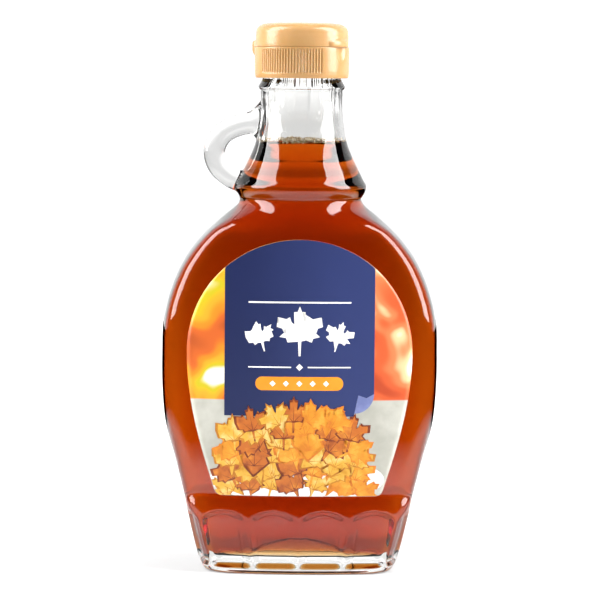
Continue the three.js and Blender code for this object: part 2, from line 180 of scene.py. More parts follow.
def reflected_ray(tree):
    """1 for a ray from a mirroring surface. A sharp ray through glass counts as glossy too."""
    path = add_node(tree, "ShaderNodeLightPath").outputs
    return add_node(tree, "ShaderNodeMath", {0: path["Is Glossy Ray"], 1: path["Is Transmission Ray"]},
                    operation="SUBTRACT", use_clamp=True)


def paper_sweep():
    """Painted board: matt white, with a faint mottle. It glows as painted light, less near the bottle, a
    painted shade round its foot. Mirrors see it only near the bottle and at the back and see painted dark
    elsewhere, and through glass it is painted a share darker, so that the glass shows no pale veil."""
    material, tree, board, place = new_material("white_board_with_painted_glow")
    mottle = add_node(tree, "ShaderNodeTexNoise", {"Vector": place, "Scale": 40.0, "Detail": 3.0})
    away = add_node(tree, "ShaderNodeVectorMath", {0: place}, operation="LENGTH").outputs["Value"]
    # Painted light: the board glows though it is no lamp, and glows less near the bottle, a painted shade
    # round its foot.
    painted_glow = add_node(tree, "ShaderNodeMapRange", {
        "Value": away, "From Min": GLOW_FROM, "From Max": GLOW_TO, "To Min": GLOW_NEAR,
        "To Max": GLOW_FAR}, interpolation_type="SMOOTHSTEP")
    fill(tree, board, {
        "Base Color": colour_steps(tree, mottle, [(0.3, "#c4c4c4"), (0.7, "#c8c8c8")]),
        "Roughness": 0.9, "Specular IOR Level": 0.0, "Emission Color": linear("#ffffff"),
        "Emission Strength": painted_glow})
    through_glass = add_node(tree, "ShaderNodeLightPath").outputs["Is Transmission Ray"]
    bent = add_node(tree, "ShaderNodeMath", {0: through_glass, 1: 1 - BENT_SHARE}, operation="MULTIPLY")
    beyond = add_node(tree, "ShaderNodeMapRange", {
        "Value": away, "From Min": MIRRORED_PATCH, "From Max": MIRRORED_FADE})
    depth = add_node(tree, "ShaderNodeSeparateXYZ", {"Vector": place}).outputs["Y"]
    ahead = add_node(tree, "ShaderNodeMath", {0: depth, 1: MIRRORED_BACK}, operation="LESS_THAN")
    hidden = add_node(tree, "ShaderNodeMath", {0: ahead, 1: reflected_ray(tree)}, operation="MULTIPLY")
    painted_dark_in_mirrors = add_node(tree, "ShaderNodeMath", {0: hidden, 1: beyond}, operation="MULTIPLY")
    painted_dark_share = add_node(tree, "ShaderNodeMath", {0: painted_dark_in_mirrors, 1: bent}, operation="MAXIMUM")
    # Painted dark: mirrors see this black instead of the board away from the bottle, and glass shows a
    # share of it.
    dark = add_node(tree, "ShaderNodeEmission", {"Strength": 0.0})
    shown = add_node(tree, "ShaderNodeMixShader", {0: painted_dark_share, 1: board, 2: dark})
    fill(tree, tree.nodes["Material Output"], {"Surface": shown})
    return material


def mesh_object(name, mesh, *materials):
    """A bmesh becomes an object of the scene."""
    data = bpy.data.meshes.new(name)
    mesh.to_mesh(data)
    mesh.free()
    for material in materials:
        data.materials.append(material)
    made = bpy.data.objects.new(name, data)
    bpy.context.scene.collection.objects.link(made)
    return made


def add_sweep():
    mesh = bmesh.new()
    turn = [math.radians(90 * i / SWEEP_CURVE_STEPS) for i in range(SWEEP_CURVE_STEPS + 1)]
    side = [(SWEEP_FRONT, 0.0)]
    side += [(SWEEP_BACK + SWEEP_CURVE * math.sin(a), SWEEP_CURVE * (1 - math.cos(a))) for a in turn]
    side += [(SWEEP_BACK + SWEEP_CURVE, SWEEP_TOP)]
    verts = [mesh.verts.new((-SWEEP_HALF_WIDTH * MM, y * MM, z * MM)) for y, z in side]
    edges = [mesh.edges.new(pair) for pair in zip(verts, verts[1:])]
    drawn = bmesh.ops.extrude_edge_only(mesh, edges=edges)["geom"]
    moved = [item for item in drawn if isinstance(item, bmesh.types.BMVert)]
    bmesh.ops.translate(mesh, verts=moved, vec=(2 * SWEEP_HALF_WIDTH * MM, 0, 0))
    bmesh.ops.recalc_face_normals(mesh, faces=mesh.faces)
    sweep = mesh_object("sweep", mesh, paper_sweep())
    sweep.data.shade_smooth()


# Each has its azimuth in degrees, 0 towards the camera and 90 along +X, its size and watts.
SOFTBOXES = [
    ("softbox_left", -82, (0.58, 1.25), 24.0),
    ("softbox_right", 81, (0.56, 1.25), 26.0),
]
SOFTBOX_DISTANCE = 0.8
SOFTBOX_HEIGHT = 0.62
SOFTBOX_AIM = 0.08


def add_softbox(name, azimuth, size, power):
    """A rectangle light that faces the bottle."""
    data = bpy.data.lights.new(name, "AREA")
    data.shape = "RECTANGLE"
    data.size, data.size_y = size
    data.energy = power
    turn = math.radians(azimuth)
    place = Vector((math.sin(turn) * SOFTBOX_DISTANCE, -math.cos(turn) * SOFTBOX_DISTANCE, SOFTBOX_HEIGHT))
    light = bpy.data.objects.new(name, data)
    aim = Vector((0, 0, SOFTBOX_AIM)) - place
    light.matrix_world = Matrix.Translation(place) @ aim.to_track_quat("-Z", "Y").to_matrix().to_4x4()
    bpy.context.scene.collection.objects.link(light)


SIDE_DARK_FROM = 0.80
SIDE_DARK_TO = 0.93
SIDE_LIGHT = 0.02
PAPER_ROOM_SHARE = 0.06
# How far back the room is whole, where it is darkest, and the share that is left there.
MIRRORED_ROOM = (0.95, 0.75, 0.02)
BENT_ROOM = (0.6, 0.1, 0.12)


def set_room():
    """A white room with a dark gap at each side, which draws the thin dark edges of the
    glass. To what mirrors or bends it, it is dark but for the back, and it lights paper little."""
    world = bpy.data.worlds.new("room")
    world.use_nodes = True
    tree = world.node_tree
    direction = add_node(tree, "ShaderNodeTexCoord").outputs["Generated"]
    parts = add_node(tree, "ShaderNodeSeparateXYZ", {"Vector": direction}).outputs
    sideways = add_node(tree, "ShaderNodeMath", {0: parts["X"]}, operation="ABSOLUTE")
    open_side = add_node(tree, "ShaderNodeMapRange", {
        "Value": sideways, "From Min": SIDE_DARK_FROM, "From Max": SIDE_DARK_TO, "To Min": 1.0,
        "To Max": SIDE_LIGHT}, interpolation_type="SMOOTHSTEP")
    path = add_node(tree, "ShaderNodeLightPath").outputs
    taken = add_node(tree, "ShaderNodeMath", {0: path["Is Diffuse Ray"], 1: 1 - PAPER_ROOM_SHARE},
                     operation="MULTIPLY")
    rays = ((reflected_ray(tree), MIRRORED_ROOM), (path["Is Transmission Ray"], BENT_ROOM))
    for ray, (whole, darkest, share) in rays:
        around = add_node(tree, "ShaderNodeMapRange", {
            "Value": parts["Y"], "From Min": whole, "From Max": darkest, "To Min": 0.0,
            "To Max": 1 - share}, interpolation_type="SMOOTHSTEP")
        left_out = add_node(tree, "ShaderNodeMath", {0: ray, 1: around}, operation="MULTIPLY")
        taken = add_node(tree, "ShaderNodeMath", {0: taken, 1: left_out}, operation="MAXIMUM")
    kept = add_node(tree, "ShaderNodeMath", {0: 1.0, 1: taken}, operation="SUBTRACT")
    strength = add_node(tree, "ShaderNodeMath", {0: kept, 1: open_side}, operation="MULTIPLY")
    fill(tree, tree.nodes["Background"], {"Color": linear("#ffffff"), "Strength": strength})
    bpy.context.scene.world = world


LIGHT_BOUNCES = 32
TRANSMISSION_BOUNCES = 28
TRANSPARENT_BOUNCES = 16

add_sweep()
for softbox in SOFTBOXES:
    add_softbox(*softbox)
set_room()
scene = bpy.context.scene
scene.view_settings.view_transform = "Standard"
scene.cycles.max_bounces = LIGHT_BOUNCES
scene.cycles.transmission_bounces = TRANSMISSION_BOUNCES
scene.cycles.transparent_max_bounces = TRANSPARENT_BOUNCES
print("studio set")

# %% [markdown]
# The glass was blown in a mould, so its outside is not a plain turned shape. Below the
# shoulder each level is a flask: two broad faces of large radius, two narrow bowed sides
# and small rims where they meet. Towards the neck the flask turns into a circle. One
# curve gives the half width at each height and another the half depth.

# %% Curves and sections of the glass
CREASE = 118.1
BODY_HALF_WIDTHS = [
    (0, 30.6), (1.6, 31.4), (19.4, 36.05), (35, 40), (46.6, 42.85), (58, 43.9), (69, 44),
    (79.5, 43.55), (89.3, 41.15), (98.9, 36.8), (106.5, 31.05), (112.5, 24.6), (116.4, 20),
    (CREASE, 19.3),
]
BODY_HALF_DEPTHS = [
    (0, 20.6), (1.6, 21.2), (21.6, 23.1), (24.8, 21.6), (26.5, 21.62), (38, 21.8), (60, 21.9),
    (100, 21.9), (108, 21.8), (112.5, 21.2), (116.4, 19.7), (CREASE, 19.3),
]
NECK_RADII = [
    (CREASE, 19.3), (120.1, 20.5), (122.1, 20.95), (124, 19.95), (127.8, 18.1), (131.6, 16.25),
    (135.4, 14.75), (139.2, 13.95), (143, 13.35), (147, 13), (152.4, 13.1),
]
FACE_RADIUS = 150.0
SIDE_BOW = 1.0
RIM_RADIUS = 6.3
FOOT_RIM_RADIUS = 9.5
FOOT_RIM_ABOVE = 26.0
FLASK_BELOW = 108.0

Section = namedtuple("Section", "width depth rim roundness")


def lerp(start, end, share):
    return start + (end - start) * share


def smoothstep(value, low, high):
    share = min(max((value - low) / (high - low), 0.0), 1.0)
    return share * share * (3 - 2 * share)


def through(pairs):
    """A smooth function through (height, value) pairs that stays level beyond the ends."""
    heights = [height for height, _ in pairs]
    slopes = [(b[1] - a[1]) / (b[0] - a[0]) for a, b in zip(pairs, pairs[1:])]
    tangents = [slopes[0]] + [(a + b) / 2 for a, b in zip(slopes, slopes[1:])] + [slopes[-1]]

    def value_at(height):
        height = min(max(height, heights[0]), heights[-1])
        i = min(max(bisect_right(heights, height) - 1, 0), len(pairs) - 2)
        (z0, v0), (z1, v1) = pairs[i], pairs[i + 1]
        p = (height - z0) / (z1 - z0)
        bend = (p ** 3 - 2 * p ** 2 + p) * tangents[i] + (p ** 3 - p ** 2) * tangents[i + 1]
        return lerp(v0, v1, p * p * (3 - 2 * p)) + bend * (z1 - z0)

    return value_at


body_width = through(BODY_HALF_WIDTHS)
body_depth = through(BODY_HALF_DEPTHS)
neck_radius = through(NECK_RADII)


def outside(z):
    """The section of the glass's outside at a height in mm."""
    rim = lerp(FOOT_RIM_RADIUS, RIM_RADIUS, smoothstep(z, 0, FOOT_RIM_ABOVE))
    roundness = smoothstep(z, FLASK_BELOW, CREASE)
    if z < CREASE:
        return Section(body_width(z), body_depth(z), rim, roundness)
    return Section(neck_radius(z), neck_radius(z), rim, roundness)


def flask_point(section, share):
    """A point of a flask's outline, a share of the way from the front round by +X."""
    half = 1 - share if share > 0.5 else share
    quarter = 0.5 - half if half > 0.25 else half
    rim = section.rim
    rim_x = section.width - rim - SIDE_BOW
    face_angle = math.asin(rim_x / (FACE_RADIUS - rim))
    rim_y = section.depth - FACE_RADIUS + (FACE_RADIUS - rim) * math.cos(face_angle)
    side_x = ((section.width - rim) ** 2 - rim_x ** 2 - rim_y ** 2) / (2 * SIDE_BOW)
    side_radius = section.width - side_x
    side_angle = math.atan2(rim_y, rim_x - side_x)
    rim_angle = math.pi / 2 - face_angle - side_angle
    face_length = FACE_RADIUS * face_angle
    rim_length = rim * rim_angle
    way = 4 * quarter * (face_length + rim_length + side_radius * side_angle)
    if way > face_length + rim_length:
        centre, radius = (side_x, 0.0), side_radius
        angle = math.pi / 2 - side_angle + (way - face_length - rim_length) / side_radius
    elif way > face_length:
        centre, radius = (rim_x, rim_y), rim
        angle = face_angle + (way - face_length) / rim
    else:
        centre, radius = (0.0, section.depth - FACE_RADIUS), FACE_RADIUS
        angle = way / FACE_RADIUS
    x = centre[0] + radius * math.sin(angle)
    y = centre[1] + radius * math.cos(angle)
    return Vector((-x if share > 0.5 else x, y if half > 0.25 else -y))


def section_point(section, share):
    """The outline between the flask and the round neck."""
    angle = share * FULL_TURN
    circle = Vector((section.width * math.sin(angle), -section.depth * math.cos(angle)))
    if section.roundness == 1:
        return circle
    return circle.lerp(flask_point(section, share), 1 - section.roundness)


print("widest", round(2 * max(body_width(z) for z in range(int(CREASE))), 1), "mm")

# %% [markdown]
# Fourteen shallow arched flutes run round the foot, four on each broad face and three on
# each narrow side. The mould cut them as hollows with a ridge between each two, so they
# are pressed into the wall here in the same way: every point moves inwards by the depth
# of its flute, which fades to nothing at the ridges, the arched head and the foot.

# %% Flutes of the foot
FLUTES = 14
FRONT_FLUTES = 4
FRONT_FLUTE_SHARE = 0.0753
FLUTE_EDGE = 0.66
FLUTE_DEPTH = 1.25
FLUTE_FOOT = 2.2
FLUTE_TOP = 20.4
FLUTE_ARCH = 3.6
FLUTE_FADE = 1.3
LEDGE_TOP = 24.8


def share_of(flutes):
    """The share of a section's edge that a number of flutes takes, counted from the front."""
    half = FLUTES / 2
    folded = FLUTES - flutes if flutes > half else flutes
    quarter = half - folded if folded > half / 2 else folded
    on_front = min(quarter, FRONT_FLUTES / 2)
    side_share = (0.25 - FRONT_FLUTE_SHARE * FRONT_FLUTES / 2) / (half / 2 - FRONT_FLUTES / 2)
    share = on_front * FRONT_FLUTE_SHARE + (quarter - on_front) * side_share
    if folded > half / 2:
        share = 0.5 - share
    return 1 - share if flutes > half else share


def flute_depth(flutes, z):
    """How deep the flutes are cut at a height, for a place across one flute."""
    across = abs(2 * (flutes % 1) - 1)
    sides = 1 - smoothstep(across, FLUTE_EDGE, 1)
    head = 1 - smoothstep(z + FLUTE_ARCH * across ** 2, FLUTE_TOP - FLUTE_FADE, FLUTE_TOP)
    foot = smoothstep(z, FLUTE_FOOT, FLUTE_FOOT + FLUTE_FADE)
    return FLUTE_DEPTH * sides * head * foot


print("flute sides at", [round(share_of(n), 3) for n in range(5)])

# %% [markdown]
# A turned shape is the natural start for a bottle: a profile of a few points is spun about
# the axis, which gives clean rings all the way up. Then each ring is pressed from a circle
# into its section, as the mould does to the hot glass. Long steps in the profile are cut
# into short ones first, so that the pressed wall stays smooth.

# %% Spinning and pressing
EDGE_STEP = 1e-3
MERGE_DISTANCE = 1e-4


def spun(profile, segments):
    """A bmesh in mm, turned from (radius, height) points that start and end on the axis."""
    mesh = bmesh.new()
    verts = [mesh.verts.new((0, -radius, height)) for radius, height in profile]
    edges = [mesh.edges.new(pair) for pair in zip(verts, verts[1:])]
    bmesh.ops.spin(mesh, geom=verts + edges, axis=(0, 0, 1), cent=(0, 0, 0), angle=FULL_TURN,
                   steps=segments, use_merge=True, use_duplicate=False)
    bmesh.ops.remove_doubles(mesh, verts=mesh.verts, dist=MERGE_DISTANCE)
    bmesh.ops.recalc_face_normals(mesh, faces=mesh.faces)
    return mesh


def press(mesh, segments, section_at, fluted=False):
    """Moves each turned point to its place in the section at its height."""
    for vert in mesh.verts:
        x, y, z = vert.co
        radius = math.hypot(x, y)
        if radius < EDGE_STEP:
            continue
        turn = round((math.atan2(x, -y) / FULL_TURN + 1) * segments) % segments
        flutes = turn * FLUTES / segments
        share = share_of(flutes)
        section = section_at(z)
        place = section_point(section, share)
        if fluted and z < LEDGE_TOP:
            before = section_point(section, (share + 1 - EDGE_STEP) % 1)
            after = section_point(section, (share + EDGE_STEP) % 1)
            along = (after - before).normalized()
            place += Vector((-along.y, along.x)) * flute_depth(flutes, z)
        place *= radius / section.width
        vert.co.x, vert.co.y = place


def fine(profile, step):
    """The same profile with its long stretches cut into steps."""
    points = [profile[0]]
    for (r0, z0), (r1, z1) in zip(profile, profile[1:]):
        count = max(math.ceil(math.hypot(r1 - r0, z1 - z0) / step), 1)
        points += [(lerp(r0, r1, i / count), lerp(z0, z1, i / count)) for i in range(1, count + 1)]
    return points


def rounded(profile, radius, steps=4):
    """The same profile with its corners rounded by about the given radius."""
    points = [Vector(point) for point in profile]
    out = [profile[0]]
    for before, corner, after in zip(points, points[1:], points[2:]):
        reach = min(radius, (before - corner).length / 2, (after - corner).length / 2)
        start = corner + (before - corner).normalized() * reach
        end = corner + (after - corner).normalized() * reach
        for i in range(steps + 1):
            share = i / steps
            out.append(tuple(start.lerp(corner, share).lerp(corner.lerp(end, share), share)))
    return out + [profile[-1]]


def add_piece(name, mesh, material, body, node):
    """A bmesh drawn in mm becomes a piece in metres that stands for a CAD node."""
    bmesh.ops.scale(mesh, vec=(MM, MM, MM), verts=mesh.verts)
    piece = mesh_object(name, mesh, material)
    piece.data.shade_smooth()
    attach(piece, body)
    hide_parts(node)
    print(name, len(piece.data.polygons), "faces")
    return piece


print("spin and press ready")

# %% [markdown]
# Soda-lime glass: clear, and optically smooth because it was fire polished. Its index of
# refraction is about 1.52 and the syrup's about 1.46, so both are given 1.5, and no line
# shows where they meet. Moulded glass is never quite even, so a slow, very shallow waviness
# in the bump bends the streaks of light a little. Where syrup wets the wall, nothing is
# mirrored, so the wetted wall and the syrup get a surface that only bends the light. The
# syrup's free top, just under its level, mirrors as any liquid does.

# %% Clear soda-lime glass
GLASS_IOR = 1.5
SYRUP_TOP = 136.3
SYRUP_EDGE = 0.05


def clear_glass():
    material, tree, glass, place = new_material("clear_soda_lime_glass")
    waves = add_node(tree, "ShaderNodeTexNoise", {"Vector": place, "Scale": 70.0, "Detail": 1.0})
    ripple = add_node(tree, "ShaderNodeBump", {"Height": waves, "Strength": 0.04, "Distance": 0.001})
    fill(tree, glass, {"Base Color": linear("#fbfbfa"), "Roughness": 0.0, "IOR": GLASS_IOR,
                       "Transmission Weight": 1.0, "Normal": ripple})
    return material


def bending_only(name):
    """A clear material that bends light and mirrors none, as where a liquid wets glass."""
    material, tree, shader, place = new_material(name)
    tree.nodes.remove(shader)
    swirl = add_node(tree, "ShaderNodeTexNoise", {"Vector": place, "Scale": 25.0, "Detail": 0.0})
    soft = add_node(tree, "ShaderNodeBump", {"Height": swirl, "Strength": 0.02, "Distance": 0.001})
    clear = {"Color": linear("#ffffff"), "Roughness": 0.0, "IOR": GLASS_IOR}
    bent = add_node(tree, "ShaderNodeBsdfRefraction", {**clear, "Normal": soft})
    free = add_node(tree, "ShaderNodeBsdfGlass", clear)
    height = add_node(tree, "ShaderNodeSeparateXYZ", {"Vector": place}).outputs["Z"]
    bare = add_node(tree, "ShaderNodeMath", {0: height, 1: (SYRUP_TOP - SYRUP_EDGE) * MM},
                    operation="GREATER_THAN")
    either = add_node(tree, "ShaderNodeMixShader", {0: bare, 1: bent, 2: free})
    fill(tree, tree.nodes["Material Output"], {"Surface": either})
    return material, tree


glass_material = clear_glass()
wetted_glass = bending_only("glass_wetted_by_syrup")[0]
print(glass_material.name, wetted_glass.name)

# %% [markdown]
# The outside of the jug is one spun and pressed shell. Its inside is a second shell, a
# wall's thickness further in and plain, because the hot glass only touched the mould on
# its outside. The small loop handle is drawn from the hot neck: a strap bent along a
# curve, wider where it leaves the neck. A boolean joins it to the jug and hollows the
# result, and a little smoothing where they meet stands for the soft fillet of real glass.

# %% Outside, inside and handle of the jug
GLASS_TOP = 164.0
RING_TIP = (14.0, 153.3)
FINISH_FOOT = 156.0
FINISH_RADIUS = 12.5
FOOT_PROFILE = [(0, 1.2), (25.5, 1.2), (27.2, 0), (29.6, 0), (30.9, 0.5), (31.4, 1.6)]
WALL = 3.0
PANEL_HALF_DEPTH = 21.9
CAVITY_FLOOR = 5.8
CAVITY_RIM_RADIUS = 8.0
PUNT_RADIUS = 24.0
PUNT_HEIGHT = 4.6
PUNT_STEPS = 16
CAVITY_HALF_WIDTHS = [
    (CAVITY_FLOOR, 26.6), (7.2, 28.8), (11, 30.6), (19.4, 33), (35, 37), (46.6, 39.85),
    (58, 40.9), (69, 41), (79.5, 40.55), (89.3, 38.1), (98.9, 33.7), (106.5, 27.8),
    (112.5, 21.5), (117, 17.2), (123, 15.6), (129.7, 13.8), (135.4, 12.2), (141, 11.1),
]
BORE = 10.9
BORE_FOOT = 141.0
FINISH_MIDDLE = 160.0
RING_ROUNDING = 0.6
FOOT_ROUNDING = 0.7
OUTER_SEGMENTS = FLUTES * 16
INNER_SEGMENTS = FLUTES * 8
ROW_STEP = 0.8
CORNER_TOP = 11.0
CORNER_STEP = 0.3
CAVITY_STEP = 1.2

cavity_width = through(CAVITY_HALF_WIDTHS)


def inside(z, gap=0.0):
    """The section of the glass's inside, less a gap for what fills it."""
    roundness = smoothstep(z, FLASK_BELOW, CREASE)
    width = cavity_width(z) if z < BORE_FOOT else BORE
    behind_ledge = min(body_depth(z), PANEL_HALF_DEPTH) - WALL
    depth = lerp(min(behind_ledge, width), width, roundness)
    return Section(width - gap, depth - gap, CAVITY_RIM_RADIUS, roundness)


def heights(start, end, step):
    """Even steps from start to end, both included."""
    count = math.ceil(abs(end - start) / step)
    return [lerp(start, end, i / count) for i in range(count + 1)]


def jug_outside():
    """Foot, fluted wall, neck and finish in one pressed shell."""
    rows = heights(FOOT_PROFILE[-1][1], NECK_RADII[-1][0], ROW_STEP)
    wall = [(outside(z).width, z) for z in rows[1:]]
    ring = rounded([wall[-1], RING_TIP, (FINISH_RADIUS, FINISH_FOOT), (FINISH_RADIUS, FINISH_MIDDLE)],
                   RING_ROUNDING)
    top = [(FINISH_RADIUS, GLASS_TOP), (0, GLASS_TOP)]
    foot = rounded(FOOT_PROFILE, FOOT_ROUNDING)
    mesh = spun(foot + wall + ring[1:] + top, OUTER_SEGMENTS)
    press(mesh, OUTER_SEGMENTS, outside, fluted=True)
    bmesh.ops.recalc_face_normals(mesh, faces=mesh.faces)
    return mesh


def cavity(gap, top):
    """The inside of the jug up to a height, shrunk by a gap or grown by a negative one. Where
    it goes on past the syrup, its faces below the syrup's level get the second material."""
    corner = [(inside(z, gap).width, z) for z in heights(CAVITY_FLOOR + gap, CORNER_TOP, CORNER_STEP)]
    levels = heights(CORNER_TOP, min(top, SYRUP_TOP), CAVITY_STEP)
    if top > SYRUP_TOP:
        levels += heights(SYRUP_TOP, BORE_FOOT, CAVITY_STEP)[1:]
    wall = [(inside(z, gap).width, z) for z in levels[1:]]
    if top > BORE_FOOT:
        wall.append((BORE - gap, top))
    floor = []
    for i in range(PUNT_STEPS):
        lift = PUNT_HEIGHT * (0.5 + 0.5 * math.cos(math.pi * i / PUNT_STEPS))
        floor.append((PUNT_RADIUS * i / PUNT_STEPS, CAVITY_FLOOR + gap + lift))
    mesh = spun(floor + corner + wall + [(0, top)], INNER_SEGMENTS)
    press(mesh, INNER_SEGMENTS, lambda z: inside(z, gap))
    bmesh.ops.recalc_face_normals(mesh, faces=mesh.faces)
    for face in mesh.faces:
        face.material_index = int(face.calc_center_median().z < SYRUP_TOP and top > SYRUP_TOP)
    return mesh


HANDLE_PATH = [
    (-11.5, 142), (-16, 141.9), (-20.2, 141.1), (-25.3, 138.3), (-27.7, 133.4),
    (-26.3, 128.2), (-22.6, 124.9), (-18.5, 122.8), (-15.5, 121.5),
]
STRAP_HALF_THICKNESS = 3.5
STRAP_HALF_WIDTH = 3.25
STRAP_SIDES = 32
STRAP_STEPS = 72
FILLET_FLARE = 1.1
FILLET_START = -17.6
FILLET_END = -12.6


def handle():
    """A round bar bent along the handle's path."""
    lengths = [0.0]
    for (x0, z0), (x1, z1) in zip(HANDLE_PATH, HANDLE_PATH[1:]):
        lengths.append(lengths[-1] + math.hypot(x1 - x0, z1 - z0))
    path_x = through([(way, x) for way, (x, _) in zip(lengths, HANDLE_PATH)])
    path_z = through([(way, z) for way, (_, z) in zip(lengths, HANDLE_PATH)])
    mesh = bmesh.new()
    bmesh.ops.create_cone(mesh, cap_ends=True, segments=STRAP_SIDES, radius1=1, radius2=1, depth=1)
    long_edges = [e for e in mesh.edges if abs(e.verts[0].co.z - e.verts[1].co.z) > 0.5]
    bmesh.ops.subdivide_edges(mesh, edges=long_edges, cuts=STRAP_STEPS - 1)
    for vert in mesh.verts:
        along = vert.co.z + 0.5
        way = along * lengths[-1]
        centre = Vector((path_x(way), path_z(way)))
        ahead = Vector((path_x(way + EDGE_STEP), path_z(way + EDGE_STEP)))
        behind = Vector((path_x(way - EDGE_STEP), path_z(way - EDGE_STEP)))
        heading = (ahead - behind).normalized()
        flare = 1.0
        if along < 0.5:
            flare += FILLET_FLARE * smoothstep(centre.x, FILLET_START, FILLET_END) ** 2
        outwards = vert.co.x * STRAP_HALF_THICKNESS * flare
        vert.co = (centre.x + heading.y * outwards, vert.co.y * STRAP_HALF_WIDTH,
                   centre.y - heading.x * outwards)
    bmesh.ops.recalc_face_normals(mesh, faces=mesh.faces)
    return mesh


def combined(base, others):
    """The mesh of one helper object joined to or cut by others. The helpers are removed."""
    for operation, other in others:
        modifier = base.modifiers.new(operation.lower(), "BOOLEAN")
        modifier.operation = operation
        modifier.solver = "EXACT"
        modifier.object = other
    depsgraph = bpy.context.evaluated_depsgraph_get()
    depsgraph.update()
    mesh = bmesh.new()
    mesh.from_mesh(base.evaluated_get(depsgraph).to_mesh())
    for helper in [base] + [other for _, other in others]:
        bpy.data.objects.remove(helper)
    return mesh


JOINT_SMOOTHING = 6
JOINT_NEAREST = 8.0
JOINT_TOP = 149.0
JOINT_INSIDE = -0.6
JOINT_OUTSIDE = 1.6


def soften_joints(mesh):
    """Smooths the glass where the handle's ends leave the neck."""
    near = []
    for vert in mesh.verts:
        x, y, z = vert.co
        off_neck = math.hypot(x, y) - neck_radius(z)
        beside = x < -JOINT_NEAREST and abs(y) < JOINT_NEAREST and CREASE - 1 < z < JOINT_TOP
        if beside and JOINT_INSIDE < off_neck < JOINT_OUTSIDE:
            near.append(vert)
    for _ in range(JOINT_SMOOTHING):
        bmesh.ops.smooth_vert(mesh, verts=near, factor=0.5, use_axis_x=True, use_axis_y=True,
                              use_axis_z=True)
    return len(near)


def build_jug():
    """The outside with the handle joined to it, hollowed by the inside."""
    glasses = (glass_material, wetted_glass)
    outer = mesh_object("outer", jug_outside(), *glasses)
    strap = mesh_object("strap", handle(), *glasses)
    hollow = mesh_object("hollow", cavity(0, GLASS_TOP + 1), *glasses)
    mesh = combined(outer, [("UNION", strap), ("DIFFERENCE", hollow)])
    print("softened", soften_joints(mesh), "points")
    bmesh.ops.triangulate(mesh, faces=[f for f in mesh.faces if len(f.verts) > 4])
    jug = add_piece("jug_glass", mesh, glass_material, "bottle_body", "bottle")
    jug.data.materials.append(wetted_glass)
    print("wetted faces", sum(face.material_index for face in jug.data.polygons))


build_jug()

# %% [markdown]
# Maple syrup is a clear amber liquid: it takes blue out of the light first, then green,
# and least of all red, and the deeper the light goes the redder it gets. So its colour
# belongs in the volume, not on the surface. The absorption below is per metre. The syrup
# reaches a hair into the glass wall, so that no air gap shows, and as syrup and glass
# bend light almost alike, its surface reflects next to nothing of its own.

# %% Maple syrup
SYRUP_REACH = 0.15
SYRUP_DENSITY = 280.0
SYRUP_TINT = (0.884, 0.614, 0.107, 1.0)


def maple_syrup():
    material, tree = bending_only("maple_syrup")
    depth = add_node(tree, "ShaderNodeVolumeAbsorption", {"Density": SYRUP_DENSITY, "Color": SYRUP_TINT})
    fill(tree, tree.nodes["Material Output"], {"Volume": depth})
    return material


add_piece("syrup_fill", cavity(-SYRUP_REACH, SYRUP_TOP), maple_syrup(), "bottle_body",
          "syrup")

# %% [markdown]
# The label is a thin printed film, stuck flat to the broad front face. Its head is a half
# circle and its sides taper in below it. A grid bent to the face gives an even sheet, and
# pushing a copy outwards gives it its thickness. The back of the film sits a hair inside
# the glass, because glue leaves no air behind it.

# %% Film label
LABEL_FOOT = 25.1
LABEL_HEAD_CENTRE = 70.6
LABEL_HEAD_RADIUS = 35.5
LABEL_FOOT_HALF_WIDTH = 26.0
LABEL_CORNER = 1.6
LABEL_COLUMNS = 48
LABEL_LOW_ROWS = 40
LABEL_HEAD_ROWS = 44
LABEL_LAST_ANGLE = math.radians(89)
LABEL_ROW_CROWDING = 1.3
LABEL_SUNK = 0.08
LABEL_PROUD = 0.18


def face_at(x, z):
    """How far the broad face stands from the middle plane."""
    return body_depth(z) - FACE_RADIUS + math.sqrt(FACE_RADIUS ** 2 - x ** 2)


def label_half_width(z):
    """Half the label's width at a height: round head, tapered sides, small lower corners."""
    if z >= LABEL_HEAD_CENTRE:
        return math.sqrt(max(LABEL_HEAD_RADIUS ** 2 - (z - LABEL_HEAD_CENTRE) ** 2, 0))
    up = (z - LABEL_FOOT) / (LABEL_HEAD_CENTRE - LABEL_FOOT)
    side = lerp(LABEL_FOOT_HALF_WIDTH, LABEL_HEAD_RADIUS, math.sin(up * math.pi / 2))
    inset = max(1 - (z - LABEL_FOOT) / LABEL_CORNER, 0)
    return side - LABEL_CORNER * (1 - math.sqrt(1 - inset ** 2))


def label_sheet():
    """A film bent to the front face."""
    rows = LABEL_LOW_ROWS + LABEL_HEAD_ROWS
    mesh = bmesh.new()
    bmesh.ops.create_grid(mesh, x_segments=LABEL_COLUMNS, y_segments=rows, size=1)
    for vert in mesh.verts:
        row = round((vert.co.y + 1) / 2 * rows)
        if row <= LABEL_LOW_ROWS:
            share = (row / LABEL_LOW_ROWS) ** LABEL_ROW_CROWDING
            z = lerp(LABEL_FOOT, LABEL_HEAD_CENTRE, share)
        else:
            angle = LABEL_LAST_ANGLE * (row - LABEL_LOW_ROWS) / LABEL_HEAD_ROWS
            z = LABEL_HEAD_CENTRE + LABEL_HEAD_RADIUS * math.sin(angle)
        x = vert.co.x * label_half_width(z)
        vert.co = (x, LABEL_SUNK - face_at(x, z), z)
    front = bmesh.ops.extrude_face_region(mesh, geom=mesh.faces[:])["geom"]
    for item in front:
        if isinstance(item, bmesh.types.BMVert):
            item.co.y -= LABEL_SUNK + LABEL_PROUD
    bmesh.ops.recalc_face_normals(mesh, faces=mesh.faces)
    return mesh


TABLE_LINE = 55.5
TABLE_BLUR = 0.2
RED_FROM = -2.0
RED_TO = 4.0
AUTUMN_BLUR = [
    (0.30, "#9c3f12"), (0.40, "#cf5f1c"), (0.47, "#e8870f"), (0.53, "#eda31c"), (0.58, "#c9b70c"),
    (0.66, "#fff4e2"),
]
RED_BLUR = [(0.32, "#b9441c"), (0.44, "#d65a2a"), (0.53, "#df7b48"), (0.60, "#f3c592"), (0.66, "#ffffff")]


